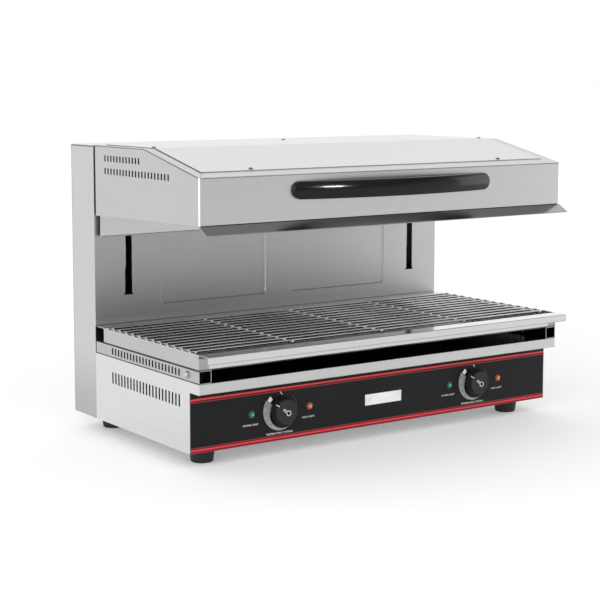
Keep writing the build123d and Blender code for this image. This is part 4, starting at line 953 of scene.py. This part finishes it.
def cap_nut(corner, hex_height, dome, height, count=48, steps=7):
    """Hexagon nut on Z with bevelled upper corners and a domed cap. Its seat is at 0."""
    half = corner * cos(pi / 6)
    turns = [2 * pi * i / count for i in range(count)]
    hexagon = [half / cos((turn + pi / 6) % (pi / 3) - pi / 6) for turn in turns]
    bevels = [0.00105 * max(r - half, 0.0) / (corner - half) for r in hexagon]
    rows = [
        [(0.96 * r, 0.0) for r in hexagon], [(r, 0.0003) for r in hexagon],
        [(r, hex_height - bevel) for r, bevel in zip(hexagon, bevels)],
        [(half * 0.97, hex_height)] * count]
    for step in range(steps):
        angle = pi / 2 * step / steps
        rows.append([(dome * cos(angle), hex_height + (height - hex_height) * sin(angle))] * count)
    return spun(rows, height)


nuts = [
    moved(
        cap_nut(NUT_CORNER, NUT_HEX, NUT_DOME, NUT_HEIGHT),
        facing((side * HALF_WIDTH, RAIL_BOLT_Y, RAIL_Z), (side, 0, 0)))
    for side in (-1, 1)]
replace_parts(build("rail_cap_nuts", nuts, fastener, "frame"), "rail_screws")

# The back panel's screws: up both sides, then along the foot and the top, each turned on from the one before.
BACK = 0.23815
BACK_TURN = 37.0
back_places = [(x, z) for z in (0.052, 0.165, 0.278, 0.391, 0.500) for x in (-0.391, 0.391)]
back_places += [(x, z) for x in (-0.26, -0.13, 0.0, 0.13, 0.26) for z in (0.038, 0.518)]
heads = [
    turned_head((x, BACK, z), (0, 1, 0), BACK_TURN * number, BACK_HEAD)
    for number, (x, z) in enumerate(back_places, 1)]
build("back_panel_screws", heads, fastener, "frame")


# Dark beads along the sides of the hood's cover, put there as painted shade for the shadow line at its edges

SHADOW_LINE_X, SHADOW_LINE_END, SHADOW_LINE_SIZE = 0.378, 0.138, 0.0012


def bead(path, outward, size, steps=6):
    """Quarter-round bead along a path, with its flat sides against the cover's edge and the flange."""
    points = []
    for place, up in path:
        for i in range(steps):
            angle = pi / 2 * i / (steps - 1)
            points.append(place + Vector(outward) * size * cos(angle) + up * size * 0.9 * sin(angle))
        points.append(place - up * 0.0001)
    return points, shut_walls(len(path), steps + 1)


shadow_line_ys = [COVER_FRONT + (BREAK_Y - COVER_FRONT) * i / 12 for i in range(13)]
shadow_line_ys += [BREAK_Y + (SHADOW_LINE_END - BREAK_Y) * i / 12 for i in range(1, 13)]
beads = [
    bead([(on_top(side * SHADOW_LINE_X, y, 0.0), Vector(top_up(y))) for y in shadow_line_ys], (side, 0, 0), SHADOW_LINE_SIZE)
    for side in (-1, 1)]
build("cover_shadow_line", beads, shadow_line_black, "hood")


# Grip ribs on the gland's cap

GLAND_X, GLAND_Z = 0.33, 0.068
GLAND_BASE, GLAND_LENGTH = 0.24315, 0.009
GLAND_RADIUS, GLAND_TAPER = 0.0105, 0.0025
RIB_COUNT, RIB_STEPS = 18, 4
RIB_START, RIB_LENGTH = 0.2438, 0.0068


def rib(angle):
    """One rib along the gland's cap, narrower at its top than at its base."""
    out = Vector((cos(angle), 0.0, sin(angle)))
    sideways = Vector((-sin(angle), 0.0, cos(angle)))
    centre = Vector((GLAND_X, 0.0, GLAND_Z))
    levels = []
    for rise, half in ((-0.0004, 0.0007), (0.0005, 0.00035)):
        rows = ([], [])
        for step in range(RIB_STEPS + 1):
            y = RIB_START + RIB_LENGTH * step / RIB_STEPS
            radius = GLAND_RADIUS - GLAND_TAPER * (y - GLAND_BASE) / GLAND_LENGTH
            for row, aside in zip(rows, (half, -half)):
                row.append(centre + out * (radius + rise) + sideways * aside + Vector((0.0, y, 0.0)))
        levels.append(rows)
    return band(*levels)


ribs = [rib(2 * pi * number / RIB_COUNT) for number in range(RIB_COUNT)]
build("gland_grip_ribs", ribs, gland_plastic, "frame")


# Weld beads where the rack's wires cross its bearers

BEARERS = (-0.388, -0.194, 0.0, 0.194, 0.388)
WIRE_COUNT, WIRE_BACK, WIRE_STEP = 13, 0.1057, 0.02402
WELD_SIZES, WELD_Y, WELD_Z = (0.0021, 0.0019, 0.0013), -0.0008, 0.1991


def bead_at(place, sizes, rows=6, columns=10):
    """Small uneven blob round a place."""
    points = []
    for row in range(1, rows):
        high = pi * row / rows
        for column in range(columns):
            turn = 2 * pi * column / columns
            swell = 1.0 + 0.12 * sin(3 * turn + 40.0 * place[0] + 90.0 * place[1])
            points.append((
                place[0] + sizes[0] * swell * sin(high) * cos(turn),
                place[1] + sizes[1] * swell * sin(high) * sin(turn), place[2] + sizes[2] * cos(high)))
    return points, shut_walls(rows - 1, columns)


beads = [
    bead_at((x, WIRE_BACK - WIRE_STEP * number + WELD_Y, WELD_Z), WELD_SIZES)
    for x in BEARERS for number in range(WIRE_COUNT)]
build("rack_welds", beads, weld_metal, "rack", smooth=80.0)


# Floor, light and camera

FLOOR_CELLS, FLOOR_REACH = 24, 30.0
SKY_TILT = (0.0, -0.66, 0.75)

# Brightness of the sky against its tilt. The last stop is a dark point at the very top.
SKY_STOPS = ((0.0, 1.15), (0.2, 1.1), (0.5, 0.88), (0.68, 0.3), (1.0, 1.0), (1.0, 0.12))

floor_paint = Paint("studio_floor")
floor_cloud = floor_paint.noise(floor_paint.place, 0.6)
floor_away = floor_paint.add("ShaderNodeVectorMath", {0: floor_paint.place}, operation="LENGTH").outputs["Value"]
floor_paint.finish(
    Base_Color=floor_paint.ramp(floor_cloud, ((0.3, (0.84, 0.84, 0.84)), (0.7, (0.88, 0.88, 0.88)))),
    Roughness=floor_paint.spread(floor_cloud, 0.3, 0.7, 0.75, 0.9),
    Emission_Color=(1.0, 1.0, 1.0, 1.0),
    Emission_Strength=floor_paint.spread(floor_away, 0.7, 2.2, 0.20, 0.28))
floor_mesh = bpy.data.meshes.new("studio_floor")
floor_lines = [-FLOOR_REACH + 2 * FLOOR_REACH * i / FLOOR_CELLS for i in range(FLOOR_CELLS + 1)]
floor_row = len(floor_lines)
floor_mesh.from_pydata(
    [(x, y, 0.0) for y in floor_lines for x in floor_lines], [],
    [(k, k + 1, k + 1 + floor_row, k + floor_row)
     for j in range(FLOOR_CELLS) for k in range(j * floor_row, j * floor_row + FLOOR_CELLS)])
floor_mesh.materials.append(floor_paint.material)
floor = bpy.data.objects.new("studio_floor", floor_mesh)
scene.collection.objects.link(floor)

world = bpy.data.worlds.new("studio")
world.use_nodes = True
scene.world = world
sky = world.node_tree
background = next(n for n in sky.nodes if n.type == "BACKGROUND")
output = next(n for n in sky.nodes if n.type == "OUTPUT_WORLD")
direction = sky.nodes.new("ShaderNodeTexCoord")
tilt = sky.nodes.new("ShaderNodeVectorMath")
tilt.operation = "DOT_PRODUCT"
tilt.inputs[1].default_value = SKY_TILT
dome = sky.nodes.new("ShaderNodeValToRGB")
fill_ramp(dome.color_ramp, [(place, (value, value, value)) for place, value in SKY_STOPS])
background.inputs["Strength"].default_value = 1.0
white = sky.nodes.new("ShaderNodeBackground")
white.inputs["Color"].default_value = (1.0, 1.0, 1.0, 1.0)
white.inputs["Strength"].default_value = 1.0
rays = sky.nodes.new("ShaderNodeLightPath")
both = sky.nodes.new("ShaderNodeMixShader")
for source, target in (
        (direction.outputs["Generated"], tilt.inputs[0]), (tilt.outputs["Value"], dome.inputs["Fac"]),
        (dome.outputs["Color"], background.inputs["Color"]), (rays.outputs["Is Camera Ray"], both.inputs[0]),
        (background.outputs[0], both.inputs[1]), (white.outputs[0], both.inputs[2]),
        (both.outputs[0], output.inputs["Surface"])):
    sky.links.new(source, target)


def softbox(name, place, target, width, height, power):
    """Area light at a place, turned to a target and unseen by the camera."""
    light = bpy.data.lights.new(name, "AREA")
    light.shape = "RECTANGLE"
    light.size = width
    light.size_y = height
    light.energy = power
    obj = bpy.data.objects.new(name, light)
    obj.location = place
    obj.rotation_euler = (Vector(target) - Vector(place)).to_track_quat("-Z", "Y").to_euler()
    obj.visible_camera = False
    scene.collection.objects.link(obj)
    return obj


softbox("front_left", (-2.4, -2.0, 1.5), (0.0, 0.0, 0.2), 2.2, 2.2, 45.0)
softbox("right_fill", (2.5, -1.0, 0.6), (0.0, -0.2, 0.4), 1.2, 1.2, 7.0)
glint = softbox("handle_glint", (0.40, -2.19, 0.84), (-0.1, -0.25, 0.467), 0.24, 0.18, 14.0)
lit = bpy.data.collections.new("handle_only")
lit.objects.link(nodes["handle"])
glint.light_linking.receiver_collection = lit

camera = bpy.data.cameras.new("photo_camera")
camera.sensor_width = 36.0
camera.lens = 91.29
camera.shift_x = 0.00467
camera.shift_y = -0.08417
camera_object = bpy.data.objects.new("photo_camera", camera)
camera_object.location = (-1.661, -2.30685, 0.647)
camera_object.rotation_euler = (radians(83.59), 0.0, radians(-34.80))
scene.collection.objects.link(camera_object)
scene.camera = camera_object
scene.view_settings.view_transform = "Standard"
